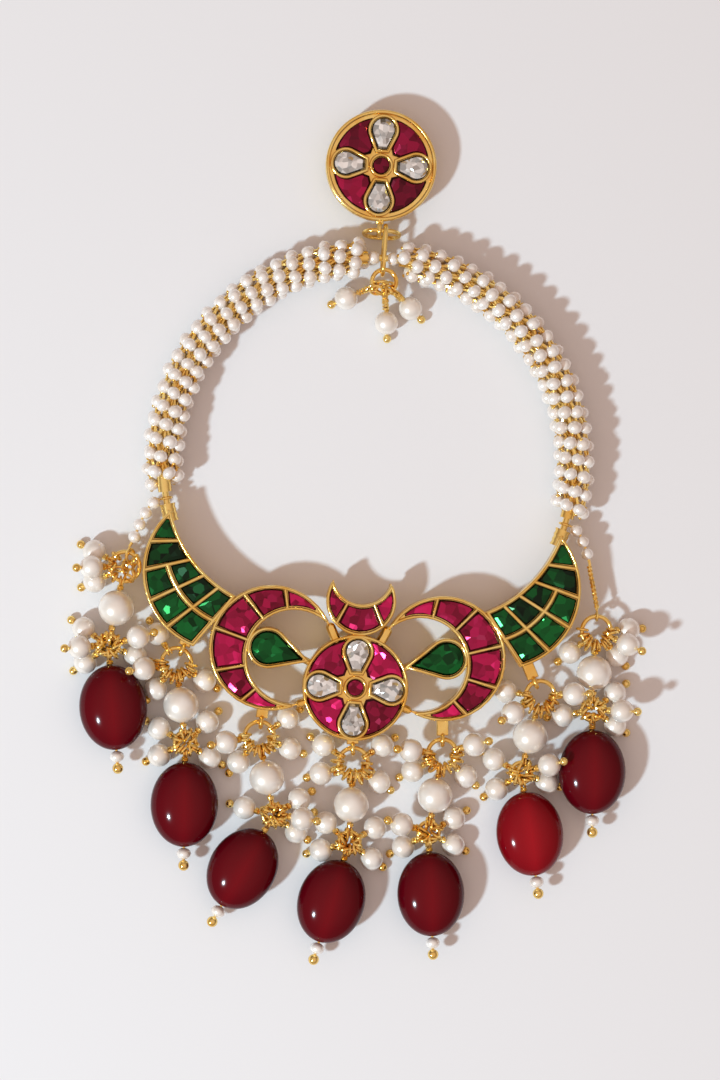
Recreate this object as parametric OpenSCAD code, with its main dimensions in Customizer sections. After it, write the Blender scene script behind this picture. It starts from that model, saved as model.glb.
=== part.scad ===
// Chandbali earring, lying flat: a stone-set stud, a hoop woven with seed pearls, a moon-shaped
// plaque set with stones in gold walls, and seven drops of pearls and oval red beads.
// Millimetres. The origin is on the surface under the centre of the stud, +Y runs to the stud's
// free edge, +Z faces the viewer.

/* [Stud] */
// Diameter of the stud's disc
stud_d = 15; // [13.5:0.5:18]
// Thickness of the stud's disc
stud_t = 2.2; // [2:0.1:3]
// Rounding of the disc's front edge
stud_edge = 0.5; // [0.2:0.1:0.6]
// Depth of the clip behind the disc
clip_t = 1.9; // [1.7:0.1:3]
// Width of the clip's strip
clip_w = 5; // [3:0.5:8]
// Thickness of the clip's strip
strip_t = 0.6; // [0.4:0.1:0.7]

/* [Hoop] */
// Radius of the hoop at the middle of its tube
hoop_r = 28; // [27:0.5:32]
// Thickness of the woven sleeve of seed pearls
weave_d = 6; // [5:0.5:7]
// Diameter of the hoop's core wire
core_d = 0.9; // [0.6:0.1:1.2]
// Gap in the sleeve at the top, where the links pass
weave_gap = 2.4; // [2.2:0.1:3]
// Outside diameter of the gold sockets at the horns' tips
socket_d = 2; // [1.8:0.1:2.4]

/* [Plaque] */
// Thickness of the gold plaque
plaque_t = 2.8; // [2.4:0.1:3.4]
// Height of the plaque's underside above the surface
plaque_lift = 2.6; // [2.4:0.1:2.7]
// Distance from the hoop's centre down to the flower's centre
plaque_drop = 30.4; // [29.5:0.1:31]
// Diameter of the flower disc
flower_d = 14.4; // [13.5:0.1:15]
// Outside diameter of each ruby curl
curl_d = 17; // [16.5:0.1:17.5]
// Diameter of the eye inside each ruby curl
curl_eye_d = 12.8; // [12:0.1:13]
// Distance from the middle to the centre of each curl
curl_x = 11.7; // [11.5:0.1:12]
// Outside diameter of the crown's crescent
crown_d = 9.4; // [9:0.1:10]
// Diameter of the hollow in the crown
crown_eye_d = 8; // [7.5:0.1:8.1]
// Radius of each horn's outer curve
horn_r = 10.9; // [10.6:0.1:11.2]
// Radius of each horn's inner curve
horn_eye_r = 17.2; // [17:0.1:17.4]

/* [Stones] */
// Width of the gold rim round a field of stones
rim = 0.4; // [0.3:0.05:0.5]
// Width of the gold wall between two stones
wall = 0.4; // [0.3:0.05:0.6]
// Clearance round each stone
stone_gap = 0.1; // [0.1:0.02:0.14]
// Depth of the pockets that hold the stones
pocket_t = 1.3; // [0.9:0.1:1.4]
// Height of a stone's girdle above its pocket's floor
girdle_h = 0.8; // [0.5:0.1:0.8]
// Height of the bevelled facets of a flat stone
bevel_h = 0.3; // [0.2:0.1:0.4]
// Height of the domed facets of a clear stone
dome_h = 0.8; // [0.5:0.1:1]
// Diameter of the round ruby in the middle of a flower
eye_ruby_d = 2.6; // [2:0.1:3]

/* [Pearls and beads] */
// Diameter of a small pearl
small_pearl_d = 3.25; // [3:0.05:3.4]
// Diameter of a large pearl
large_pearl_d = 4.9; // [4.5:0.1:5.1]
// Diameter of a seed pearl
seed_d = 2; // [1.8:0.1:2.2]
// Width of an oval bead
bead_w = 9.2; // [8:0.1:9.6]
// Length of an oval bead along its hole
bead_l = 11.6; // [10:0.1:12.5]
// Thickness of an oval bead
bead_t = 6; // [5:0.1:6]

/* [Links and pins] */
// Middle diameter of the upper ring of a drop
upper_ring_d = 4; // [3.8:0.1:4.4]
// Middle diameter of the lower ring of a drop
lower_ring_d = 2.8; // [2.7:0.1:3]
// Diameter of the ring wire
ring_wire_d = 0.6; // [0.5:0.02:0.64]
// Diameter of the pin wire
pin_d = 0.36; // [0.3:0.02:0.4]
// Middle diameter of the loop at a pin's end
pin_loop_d = 1.16; // [1.16:0.02:1.2]
// Diameter of the wire wrapped round a pin's neck
neck_d = 0.9; // [0.7:0.05:1]
// Length of the wrapped neck
neck_l = 0.5; // [0.3:0.05:0.6]
// Diameter of the gold ball at the end of a small pin
ball_d = 1.2; // [1:0.1:1.3]
// Diameter of the gold ball at the end of a bead's pin
bead_ball_d = 1.5; // [1.2:0.1:1.7]
// Clearance between a pin and the pearl or bead on it
bore_gap = 0.1; // [0.1:0.01:0.14]
// Middle diameter of a bail
bail_d = 1.7; // [1.6:0.05:1.9]

/* [Hidden] */
$fn = 48;
DROP_IDS = [0 : 6];

GOLD = [0.86, 0.64, 0.22];
RUBY = [0.66, 0.06, 0.25];
EMERALD = [0.03, 0.40, 0.14];
POLKI = [0.88, 0.88, 0.86];
PEARL = [0.95, 0.91, 0.86];
RED_BEAD = [0.45, 0.04, 0.08];

// Every wire, pin and bead has its axis in one level plane
axis_z = max(weave_d, bead_t) / 2;
floor_gap = 0.05;
overlap = 0.1;

// The hoop and plaque lie a little to the right of the stud
lie_shift = 1.2;
stud_to_hoop = 4.9;
hoop_y = -(stud_d / 2 + stud_to_hoop + hoop_r);
plaque_y = hoop_y - plaque_drop;
plaque_top = plaque_lift + plaque_t;
pocket_floor = plaque_top - pocket_t;
stud_top = clip_t + stud_t;

// Angles on the hoop's circle where the sleeve and the core wire end, below the level
weave_end = 11.5;
string_at = 13.3;
socket_from = 15.2;
core_end = 18.6;
socket_end = 19.6;

ring_wire_r = ring_wire_d / 2;
pin_r = pin_d / 2;
loop_r = pin_loop_d / 2;
bore_d = pin_d + 2 * bore_gap;
neck_sink = 0.06;
neck_from = loop_r + pin_r - neck_sink;

function dir(a) = [cos(a), sin(a)];
function hang(a) = [sin(a), -cos(a)];
function lerp(a, b, s) = a + (b - a) * s;
function sum(v, i = 0) = i < len(v) - 1 ? v[i] + sum(v, i + 1) : v[i];
function centroid(p) = sum(p) / len(p);
function scaled(p, k) = let (c = centroid(p)) [for (q = p) c + (q - c) * k];
function reversed(p) = [for (i = [len(p) - 1 : -1 : 0]) p[i]];
function flipped(p) = [-p.x, p.y];
function turned(p, a) = [for (q = p) [q.x * cos(a) - q.y * sin(a), q.x * sin(a) + q.y * cos(a)]];

// Distance from point p along the angle a to the circle round c, for p inside the circle
function reach(p, a, c, r) =
    let (b = (p - c) * dir(a)) -b + sqrt(b * b - (p - c) * (p - c) + r * r);

// Horns, curls and crown: fields between two circles, cut into stones by a fan of walls.
// A field is [fan pole, inner centre, inner radius, outer centre, outer radius]
curl_eye_r = curl_eye_d / 2;
curl_r = curl_d / 2;
CURL_EYE_SHIFT = [-3.1, -1.05];
CURL_C = [curl_x, 4.7];
CURL_EYE_C = CURL_C + CURL_EYE_SHIFT;
CURL = [CURL_EYE_C, CURL_EYE_C, curl_eye_r, CURL_C, curl_r];

crown_r = crown_d / 2;
CROWN_C = [0, flower_d / 2 + crown_r - overlap];
CROWN_EYE_C = CROWN_C + [0, 3.55];
CROWN = [CROWN_EYE_C, CROWN_EYE_C, crown_eye_d / 2, CROWN_C, crown_r];

// A horn's two curves run from its tip, by the hoop's end, to its foot beside the curl
function arc_centre(p, q, r) = let (m = (p + q) / 2, d = (q - p) / 2)
    m + sqrt(r * r - d * d) * [d.y, -d.x] / norm(d);
horn_tip_inset = 0.3;
horn_tip_at = 16.8;
horn_tip = [0, plaque_drop] + (hoop_r - horn_tip_inset) * dir(-horn_tip_at);
HORN_FOOT = -54.5;
horn_foot_in = 0.23;
HORN_POLE_AT = -12.28;
HORN_INNER_AT = -2.36;
HORN_OUTER_AT = 6.5;

// A point on the line along which the horn's foot is soldered to the curl
function on_foot(t) = CURL_C + (curl_r - horn_foot_in) * dir(HORN_FOOT + 90) + t * dir(HORN_FOOT);
HORN_POLE = on_foot(HORN_POLE_AT);
HORN = [HORN_POLE, arc_centre(horn_tip, on_foot(HORN_INNER_AT), horn_eye_r), horn_eye_r,
        arc_centre(horn_tip, on_foot(HORN_OUTER_AT), horn_r), horn_r];

// Places of the fans' walls, from the tip on: shares of the horn's fan, and angles of the others
HORN_TIP = atan2(horn_tip.y - HORN_POLE.y, horn_tip.x - HORN_POLE.x);
HORN_WALLS = [for (s = [0.08, 0.225, 0.395, 0.585, 0.775, 0.933]) lerp(HORN_TIP, HORN_FOOT, s)];
HORN_ACROSS = [1, 1, 2, 2, 2];
CURL_WALLS = [107, 77, 47, 17, -12, -41, -70];
CROWN_WALLS = [-34, -66, -114, -146];

function edge_in(f, a) = reach(f[0], a, f[1], f[2]);
function edge_out(f, a) = reach(f[0], a, f[3], f[4]);

// A corner of a cell on the fan's line a: a share u of the way over the cell, which spans s0 to
// s1 of the field less lo and hi, and half a wall off the line on side t
function cell_at(f, a, t, s0, s1, u, lo, hi) =
    let (ri = edge_in(f, a), ro = edge_out(f, a),
         r = lerp(lerp(ri, ro, s0) + lo, lerp(ri, ro, s1) - hi, u))
    f[0] + r * dir(a + t * asin((wall / 2 + stone_gap) / r));

// The outline of a stone between the fan's angles a and b (b < a), over the shares s0 to s1
// across the field
function cell(f, a, b, s0, s1) =
    let (lo = (s0 == 0 ? rim : wall / 2) + stone_gap, hi = (s1 == 1 ? rim : wall / 2) + stone_gap,
         m = (a + b) / 2)
    let (inner = [for (c = [[a, -1], [m, 0], [b, 1]]) cell_at(f, c[0], c[1], s0, s1, 0, lo, hi)],
         outer = [for (c = [[b, 1], [m, 0], [a, -1]]) cell_at(f, c[0], c[1], s0, s1, 1, lo, hi)])
    around(inner, outer);
function around(inner, outer) =
    concat(inner, [(inner[2] + outer[0]) / 2], outer, [(outer[2] + inner[0]) / 2]);

// The table within such an outline, drawn in by a share of its size
TABLE = 0.16;
function drawn_in(p) =
    let (inner = [lerp(p[0], p[1], 2 * TABLE), p[1], lerp(p[2], p[1], 2 * TABLE)],
         outer = [lerp(p[4], p[5], 2 * TABLE), p[5], lerp(p[6], p[5], 2 * TABLE)])
    around([for (i = [0 : 2]) lerp(inner[i], outer[2 - i], TABLE)],
           [for (i = [0 : 2]) lerp(outer[i], inner[2 - i], TABLE)]);

// A stone is [outline, table outline], counterclockwise
function cell_stone(f, a, b, s0 = 0, s1 = 1) =
    let (p = cell(f, a, b, s0, s1)) [reversed(p), reversed(drawn_in(p))];
function shaped_stone(p, table) = [p, scaled(p, table)];
function fan_stones(f, walls) =
    [for (i = [0 : len(walls) - 2]) cell_stone(f, walls[i], walls[i + 1])];

horn_stones = [for (i = [0 : len(HORN_ACROSS) - 1], k = [1 : HORN_ACROSS[i]])
    cell_stone(HORN, HORN_WALLS[i], HORN_WALLS[i + 1],
               (k - 1) / HORN_ACROSS[i], k / HORN_ACROSS[i])];
curl_stones = fan_stones(CURL, CURL_WALLS);
crown_stones = fan_stones(CROWN, CROWN_WALLS);

// Pear emeralds, seated against the outer side of each curl's eye
PEAR_R = 2.3;
pear_in = 0.1;
pear_bezel_r = PEAR_R + stone_gap + rim;
pear_seat = sqrt(curl_eye_r * curl_eye_r - CURL_EYE_SHIFT.y * CURL_EYE_SHIFT.y);
PEAR_C = [CURL_EYE_C.x + pear_seat + pear_in - pear_bezel_r, CURL_C.y];
PEAR_TIP = [-4.9, -1.3];
PEAR_BEZEL_TIP = 1.14;
PEAR_TABLE = 0.6;
function pear(c, r, tip, n = 12) =
    let (a0 = atan2(tip.y, tip.x), half = acos(r / norm(tip)))
    concat([for (i = [0 : n]) c + r * dir(a0 + half + i * (360 - 2 * half) / n)], [c + tip]);
pear_stone = shaped_stone(pear(PEAR_C, PEAR_R, PEAR_TIP), PEAR_TABLE);
pear_bezel = pear(PEAR_C, pear_bezel_r, PEAR_TIP * PEAR_BEZEL_TIP);

// Flowers: shares of the flower's radius, the same on the stud and on the plaque
PETAL_C = 0.685;
PETAL_R = 0.228;
PETAL_TIP = 0.37;
FAN_TABLE = [[0.9, 29], [0.9, 15], [0.9, 0], [0.9, -15], [0.9, -29], [0.68, -17], [0.47, -16],
             [0.36, -17], [0.36, 17], [0.47, 16], [0.68, 17]];
function petal(r) = let (c = [r * PETAL_C, 0]) concat(
    [for (i = [-4 : 4]) c + r * PETAL_R * dir(i * 28)],
    [[r * PETAL_TIP, r * 0.12], [r * PETAL_TIP, -r * 0.12]]);
function fan_stone(r) = [for (row = FAN_TABLE) r * row[0] * dir(45 - row[1])];
function round_stone(d) = [for (i = [0 : 11]) d / 2 * dir(i * 30)];
function petals(r) = [for (i = [0 : 3]) shaped_stone(turned(petal(r), 90 * i), 0.45)];
function flower_reds(r) = concat(
    [for (i = [0 : 3]) shaped_stone(turned(fan_stone(r), 90 * i), 0.72)],
    [shaped_stone(round_stone(eye_ruby_d), 0.72)]);

flower_r = flower_d / 2;
stud_r = stud_d / 2 - stud_edge;

// A faceted stone over the floor at z: pavilion, girdle, crown facets and table
module cut_stone(stone, z, crown_h) {
    outline = stone[0];
    n = len(outline);
    rings = [[lerp(outline, stone[1], 0.5), 0], [outline, girdle_h / 2], [outline, girdle_h],
             [stone[1], girdle_h + crown_h]];
    last = len(rings) - 1;
    low_mid = centroid(rings[0][0]);
    top_mid = centroid(rings[last][0]);
    points = concat([for (r = rings, q = r[0]) [q.x, q.y, z + r[1]]],
        [[low_mid.x, low_mid.y, z], [top_mid.x, top_mid.y, z + girdle_h + crown_h]]);
    sides = [for (k = [0 : last - 1], i = [0 : n - 1]) let (j = (i + 1) % n)
        [k * n + i, (k + 1) * n + i, (k + 1) * n + j, k * n + j]];
    floor_faces = [for (i = [0 : n - 1]) [(last + 1) * n, i, (i + 1) % n]];
    table_faces = [for (i = [0 : n - 1]) [(last + 1) * n + 1, last * n + (i + 1) % n, last * n + i]];
    polyhedron(points, concat(sides, floor_faces, table_faces));
}

module set_stones(stones, top_z, crown_h) {
    for (stone = stones) cut_stone(stone, top_z - pocket_t + stone_gap, crown_h);
}

module pockets(stones, top_z) {
    translate([0, 0, top_z - pocket_t]) linear_extrude(pocket_t + 1)
        for (stone = stones) offset(delta = stone_gap) polygon(stone[0]);
}

module torus(middle_r, wire_r) rotate_extrude() translate([middle_r, 0]) circle(wire_r);

module hoop_arc(from, to) {
    rotate([0, 0, from]) rotate_extrude(angle = to - from) translate([hoop_r, 0]) children();
}

module at_hoop() translate([lie_shift, hoop_y, axis_z]) children();
module at_plaque() translate([lie_shift, plaque_y, 0]) children();

// Stud
module stud_setting() {
    color(GOLD) difference() {
        union() {
            translate([0, 0, clip_t]) rotate_extrude() {
                square([stud_d / 2 - stud_edge, stud_t]);
                square([stud_d / 2, stud_t - stud_edge]);
                translate([stud_d / 2 - stud_edge, stud_t - stud_edge]) circle(stud_edge);
            }
            translate([bail_x - 0.5, stud_bail_y + bail_d / 2 - overlap, stud_bail_z - 0.5])
                cube([1, -stud_bail_y - bail_d / 2 - stud_d / 2 + 0.6, 1]);
            translate([bail_x, stud_bail_y, stud_bail_z]) rotate([0, 90, 0])
                torus(bail_d / 2, ring_wire_r);
        }
        pockets(concat(petals(stud_r), flower_reds(stud_r)), stud_top);
        translate([0, peg_y, clip_t - 1]) cylinder(h = 1 + peg_h + stone_gap, d = peg_d + 0.2);
    }
}

module stud_polki() {
    color(POLKI) set_stones(petals(stud_r), stud_top, dome_h);
}

module stud_rubies() {
    color(RUBY) set_stones(flower_reds(stud_r), stud_top, bevel_h);
}

// Clip: a strip bent back on itself, pegged to the disc's back
peg_y = 3;
peg_d = 2;
peg_h = 0.5;
clip_end = -5;
module ear_clip() {
    bend_r = (clip_t - stone_gap) / 2;
    color(GOLD) {
        translate([-clip_w / 2, clip_end, 0]) cube([clip_w, peg_y + 1 - clip_end, strip_t]);
        translate([0, peg_y + 1, bend_r]) rotate([0, -90, 0])
            translate([0, 0, -clip_w / 2]) difference() {
                cylinder(h = clip_w, r = bend_r);
                translate([0, 0, -1]) cylinder(h = clip_w + 2, r = bend_r - strip_t);
                translate([-bend_r - 1, -2 * bend_r, -1]) cube([2 * bend_r + 2, 2 * bend_r, clip_w + 2]);
            }
        translate([-clip_w / 2, peg_y - 2, clip_t - stone_gap - strip_t])
            cube([clip_w, 3, strip_t]);
        translate([0, peg_y, clip_t - stone_gap - overlap])
            cylinder(h = peg_h + overlap, d = peg_d);
    }
}

// Links between the stud and the hoop
bail_x = 0.35;
link_x = 1.2;
link_lift = 0.1;
link_offset = 0.4;
stud_bail_z = clip_t + 1.3;
stud_bail_y = -stud_d / 2 - 1.1;
link_lean = 75;
link_half = 1.5;
link_straight = 1.8;
link_y = stud_bail_y - 0.12 - link_half * cos(link_lean);
link_z = stud_bail_z + 0.05 - link_half * sin(link_lean);

// A long link: two half rings of radius r joined by straight wires, in the XY plane along X
module long_link(r, straight, wire_r) {
    for (side = [0, 180]) rotate([0, 0, side]) {
        translate([straight / 2, 0, 0]) rotate([0, 0, -90])
            rotate_extrude(angle = 180) translate([r, 0]) circle(wire_r);
        translate([-straight / 2, r, 0]) rotate([0, 90, 0]) cylinder(h = straight, r = wire_r);
    }
}

module stud_link() {
    color(GOLD) translate([link_x - link_offset, link_y, link_z]) rotate([link_lean, 0, 0])
        long_link(link_half, link_straight, ring_wire_r);
}

top_ring_r = 1.65;
top_ring_shift = 0.3;
top_ring_x = lie_shift + top_ring_shift;
top_ring_y = hoop_y + hoop_r - 3.2;
hoop_link_half = 1.25;
hoop_link_top = stud_bail_y + 0.59;
hoop_link_end = top_ring_y + top_ring_r - 0.76;
module hoop_link() {
    straight = hoop_link_top - hoop_link_end - 2 * hoop_link_half;
    color(GOLD) translate([link_x, (hoop_link_top + hoop_link_end) / 2, axis_z + link_lift])
        rotate([0, 0, 90]) rotate([90, 0, 0])
            long_link(hoop_link_half, straight, ring_wire_r);
}

// Three pearls on a ring under the top of the hoop: [angle from straight down, length beyond
// a drop's pin, dip as a share of the steepest]
TOP_PINS = [[-63, 1.2, 0.75], [8, 1.2, 0.75], [50, 0.8, 0.8]];
module at_top_ring() translate([top_ring_x, top_ring_y, axis_z + link_lift]) children();

module top_ring() {
    color(GOLD) at_top_ring() torus(top_ring_r, ring_wire_r);
}

module top_pins() {
    color(GOLD) for (p = TOP_PINS) at_top_ring()
        on_ring(top_ring_r, p[0], p[2]) pearl_pin(p[1]);
}

module top_pearls() {
    color(PEARL) for (p = TOP_PINS) at_top_ring()
        on_ring(top_ring_r, p[0], p[2]) pin_pearl(p[1]);
}

// Hoop
module hoop_wire() {
    color(GOLD) at_hoop() hoop_arc(-core_end, 180 + core_end) circle(core_d / 2);
}

module hoop_weave() {
    gap_angle = asin(weave_gap / 2 / hoop_r);
    color(PEARL) difference() {
        at_hoop() for (ends = [[-weave_end, 90 - gap_angle], [90 + gap_angle, 180 + weave_end]])
            hoop_arc(ends[0], ends[1]) difference() {
                circle(weave_d / 2);
                circle(core_d / 2 + bore_gap);
            }
        translate([top_ring_x, top_ring_y, -1])
            cylinder(h = weave_d + 2, r = top_ring_r + ring_wire_r + 0.25);
    }
}

// Side strings, from the core wire near the hoop's ends to the outer drops. Points are relative
// to the plaque's middle line and the flower's centre
STRING_SEEDS = [[29.3, 22.9], [30.3, 20.9], [31.0, 18.9]];
LEFT_TAIL = [[31.5, 17.6]];
RIGHT_TAIL = [[31.3, 17.2], [31.9, 15.0], [32.4, 13.0]];
LEFT_END = [31.9, 16.3];
RIGHT_END = [32.5, 11.7];
twist_d = 0.7;
string_top = [0, plaque_drop] + hoop_r * dir(-string_at);

// A tube of eight sides through points in the axis plane, with its own radius at each point
module swept(points, radii) {
    n = 8;
    last = len(points) - 1;
    function way(i) = points[min(i + 1, last)] - points[max(i - 1, 0)];
    rings = [for (i = [0 : last], k = [0 : n - 1])
        let (w = way(i) / norm(way(i)), a = 360 * (k + 0.5) / n)
        [points[i].x - w.y * radii[i] * cos(a), points[i].y + w.x * radii[i] * cos(a),
         radii[i] * sin(a)]];
    sides = [for (i = [0 : last - 1], k = [0 : n - 1]) let (j = (k + 1) % n)
        [i * n + k, (i + 1) * n + k, (i + 1) * n + j, i * n + j]];
    polyhedron(rings, concat(sides, [[for (k = [0 : n - 1]) k]],
        [[for (k = [n - 1 : -1 : 0]) last * n + k]]));
}

// A thread loop of inner radius r round a wire that runs at the angle a
module string_loop(at, a, r) {
    translate([at.x, at.y, 0]) rotate([0, 0, a]) rotate([0, 90, 0]) torus(r + pin_r, pin_r);
}

// One string: a loop round the core wire, seeds, a tail, and a loop round the drop's ring
module side_string(tail, tail_d, end, hang_a) {
    top_reach = core_d / 2 + bore_gap + pin_d;
    end_reach = ring_wire_r + bore_gap + pin_d;
    route = concat([string_top + top_reach * dir(-string_at)], STRING_SEEDS, tail,
                   [end - end_reach * hang(hang_a)]);
    thick = concat([pin_d], [for (p = STRING_SEEDS) seed_d / 2], [for (p = tail) tail_d / 2],
                   [pin_d]);
    translate([0, 0, axis_z]) {
        string_loop(string_top, 90 - string_at, core_d / 2 + bore_gap);
        string_loop(end, hang_a, ring_wire_r + bore_gap);
        swept(route, thick);
    }
}

module side_string_left() {
    color(PEARL) at_plaque() mirror([1, 0, 0])
        side_string(LEFT_TAIL, seed_d, LEFT_END, -DROPS[0][HANG]);
}

module side_string_right() {
    color(PEARL) at_plaque() side_string(RIGHT_TAIL, twist_d, RIGHT_END, DROPS[6][HANG]);
}

// Plaque
function field_outline(f, tip, foot, n = 10) = concat(
    [for (i = [0 : n]) let (a = lerp(tip, foot, i / n)) f[0] + edge_out(f, a) * dir(a)],
    [for (i = [n : -1 : 1]) let (a = lerp(tip, foot, i / n)) f[0] + edge_in(f, a) * dir(a)]);

// A tip of a crescent, where its two circles cross on side t
function crescent_tip(f, t) =
    let (d = f[3] - f[1], n = norm(d), a = (f[2] * f[2] - f[4] * f[4] + n * n) / (2 * n))
    f[1] + (a * d + t * sqrt(f[2] * f[2] - a * a) * [-d.y, d.x]) / n;

// Solder from the flower's rim to the curl's tips and to the pear's point: [point, width]
SOLDER = [[crescent_tip(CURL, 1), 2], [crescent_tip(CURL, -1), 1.4], [PEAR_C + PEAR_TIP, 1.2]];
solder_in = 0.5;

module solder(at, width) {
    from = flower_r - solder_in;
    to = norm(at);
    rotate(atan2(at.y, at.x)) {
        for (x = [from, to]) translate([x, 0]) circle(d = width);
        translate([min(from, to), -width / 2]) square([abs(to - from), width]);
    }
}

module crescent(f) {
    difference() {
        translate(f[3]) circle(f[4]);
        translate(f[1]) circle(f[2]);
    }
}

module half_plaque() {
    polygon(reversed(field_outline(HORN, HORN_TIP, HORN_FOOT)));
    crescent(CURL);
    polygon(pear_bezel);
    for (s = SOLDER) solder(s[0], s[1]);
}

bore_mouth = socket_from - 1.3;
bore_end = core_end + 0.3;

module chand_frame() {
    stones = concat(horn_stones, curl_stones, [pear_stone]);
    middle = concat(crown_stones, petals(flower_r), flower_reds(flower_r));
    color(GOLD) at_plaque() difference() {
        union() {
            translate([0, 0, plaque_lift]) linear_extrude(plaque_t) {
                half_plaque();
                mirror([1, 0]) half_plaque();
                crescent(CROWN);
                circle(flower_r);
            }
            for (side = [0, 1]) mirror([side, 0, 0]) socket();
            for (i = [1 : 5]) drop_bail(i);
        }
        pockets(stones, plaque_top);
        mirror([1, 0, 0]) pockets(stones, plaque_top);
        pockets(middle, plaque_top);
        translate([0, plaque_drop, axis_z])
            for (bore = [[-bore_end, -bore_mouth], [180 + bore_mouth, 180 + bore_end]])
                hoop_arc(bore[0], bore[1]) circle(core_d / 2 + bore_gap);
    }
}

// A gold tube round the end of the core wire, at the right horn's tip
module socket() {
    translate([0, plaque_drop, axis_z]) hoop_arc(-socket_end, -socket_from) circle(socket_d / 2);
}

module horn_emeralds() color(EMERALD) set_stones(horn_stones, plaque_top, bevel_h);
module curl_rubies() color(RUBY) set_stones(curl_stones, plaque_top, bevel_h);
module pear_emerald() color(EMERALD) set_stones([pear_stone], plaque_top, dome_h);

module crown_rubies() {
    color(RUBY) at_plaque() set_stones(crown_stones, plaque_top, bevel_h);
}

module flower_polki() {
    color(POLKI) at_plaque() set_stones(petals(flower_r), plaque_top, dome_h);
}

module flower_rubies() {
    color(RUBY) at_plaque() set_stones(flower_reds(flower_r), plaque_top, bevel_h);
}

// Drops. Angles are from straight down, positive towards +X.
// HANG: lean of the bail or string end, TAB: length of the bail's tab, LEAN: lean of the large
// pearl's pin, BEAD: lean of the bead's pin, UPPER and LOWER: small pearls on the two rings,
// each [angle, dip as a share of the steepest; negative ones rise]
HANG = 0;
TAB = 1;
LEAN = 2;
BEAD = 3;
UPPER = 4;
LOWER = 5;
DROPS = [
    [-9, 0, -8, 8, [[-112, 1], [-86, -1.2], [-60, 1]],
     [[70, 1], [110, -0.6], [-49, 1], [-119, 1], [-84, -1.2]]],
    [-20, 0.2, 10, 3, [[-78, -1.2], [-143, 1], [-34, 1], [60, 1]],
     [[135, 1], [60, 1], [-113, 1], [-58, 1]]],
    [-3, 0.9, 14, -26, [[-78, -1], [-34, 1], [70, 1], [125, 1]],
     [[122, 1], [55, 1], [88, -1.2], [-98, 1]]],
    [6, 0.3, 1, -13, [[-116, 1], [122, 1], [-66, 1], [56, 1]],
     [[-125, 1], [-68, 1], [120, 1], [55, 1]]],
    [4, 1.8, -6, 6, [[-55, 1], [-95, -1.2], [50, 1], [112, -1.2]],
     [[-105, -1], [120, 1], [65, 1], [-54, 1]]],
    [27, 1.9, -10, 12, [[-92, 1], [-57, -1.2], [98, -1.2]],
     [[-112, 1], [-50, 1], [112, -1.2], [72, 1]]],
    [3, 0, 1, 4, [[95, 1], [45, 1], [70, -1.2], [-45, 1]],
     [[-75, 1], [60, 1], [94, -1.2], [128, 1]]],
];
upper_r = upper_ring_d / 2;
lower_r = lower_ring_d / 2;

// Where each drop hangs, relative to the plaque
function horn_corner() = HORN_POLE + edge_out(HORN, -51) * dir(-51);
function curl_bottom() = CURL_C + curl_r * dir(-86);
ANCHORS = [flipped(LEFT_END), flipped(horn_corner()), flipped(curl_bottom()),
           [0.2, -flower_r], curl_bottom(), horn_corner(), RIGHT_END];
bail_play = 0.05;
function hung_by_bail(i) = i > 0 && i < len(DROPS) - 1;
function ring_drop(i) = upper_r + (hung_by_bail(i) ? DROPS[i][TAB] + bail_d / 2 + bail_play : 0);
function upper_at(i) = ANCHORS[i] + ring_drop(i) * hang(DROPS[i][HANG]);

// From the ring wire to the middle of the large pearl
half_bridge = neck_from + neck_l + bore_gap + large_pearl_d / 2;
function lower_at(i) = upper_at(i) + (upper_r + lower_r + 2 * half_bridge) * hang(DROPS[i][LEAN]);

module at_upper(i) at_plaque() translate([upper_at(i).x, upper_at(i).y, axis_z]) children();
module at_lower(i) at_plaque() translate([lower_at(i).x, lower_at(i).y, axis_z]) children();

// The wire point of a ring of radius r at an angle from straight down; pins point along -Y
ball_sink = 0.03;
small_reach = neck_from + neck_l + bore_gap + small_pearl_d / 2;
ball_reach = small_reach + small_pearl_d / 2 + bore_gap + ball_d / 2 - ball_sink;
steepest = min(asin((axis_z - small_pearl_d / 2 - floor_gap) / small_reach),
               asin((axis_z - ball_d / 2 - floor_gap) / ball_reach));
module on_ring(r, a, dip)
    rotate([0, 0, a]) translate([0, -r, 0]) rotate([dip * steepest, 0, 0]) children();

module rod(from, to, d) translate([0, -from, 0]) rotate([90, 0, 0]) cylinder(h = to - from, d = d);

module pin_loop() {
    rotate([0, 90, 0]) torus(loop_r, pin_r);
    rod(neck_from, neck_from + neck_l, neck_d);
}

module pearl_pin(extra = 0) {
    pin_loop();
    rod(neck_from, ball_reach + extra, pin_d);
    translate([0, -ball_reach - extra, 0]) sphere(d = ball_d);
}

module drilled_ball(d) {
    difference() {
        sphere(d = d);
        rod(-d, d, bore_d);
    }
}

module pin_pearl(extra = 0) translate([0, -small_reach - extra, 0]) drilled_ball(small_pearl_d);

// A bail's tab, and how far it reaches past the bail's top and under the plaque
tab_w = 1.6;
tab_t = 1.2;
tab_over = 0.3;
tab_under = 0.7;

module drop_bail(i) {
    d = DROPS[i];
    at = ANCHORS[i];
    translate([at.x, at.y, 0]) rotate([0, 0, d[HANG]]) {
        translate([-tab_w / 2, -d[TAB] - tab_over, plaque_lift])
            cube([tab_w, tab_over + d[TAB] + tab_under, tab_t]);
        translate([0, -d[TAB] - bail_d / 2, axis_z + link_lift]) rotate([0, 90, 0])
            torus(bail_d / 2, ring_wire_r);
    }
}

module drop_links(i) {
    color(GOLD) {
        at_upper(i) torus(upper_r, ring_wire_r);
        at_lower(i) torus(lower_r, ring_wire_r);
    }
}

bead_reach = neck_from + neck_l + bore_gap + bead_l / 2;
seed_l = 0.8 * seed_d;
seed_reach = bead_reach + bead_l / 2 + bore_gap + seed_l / 2;
end_reach = seed_reach + seed_l / 2 + bore_gap + bead_ball_d / 2 - ball_sink;

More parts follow.
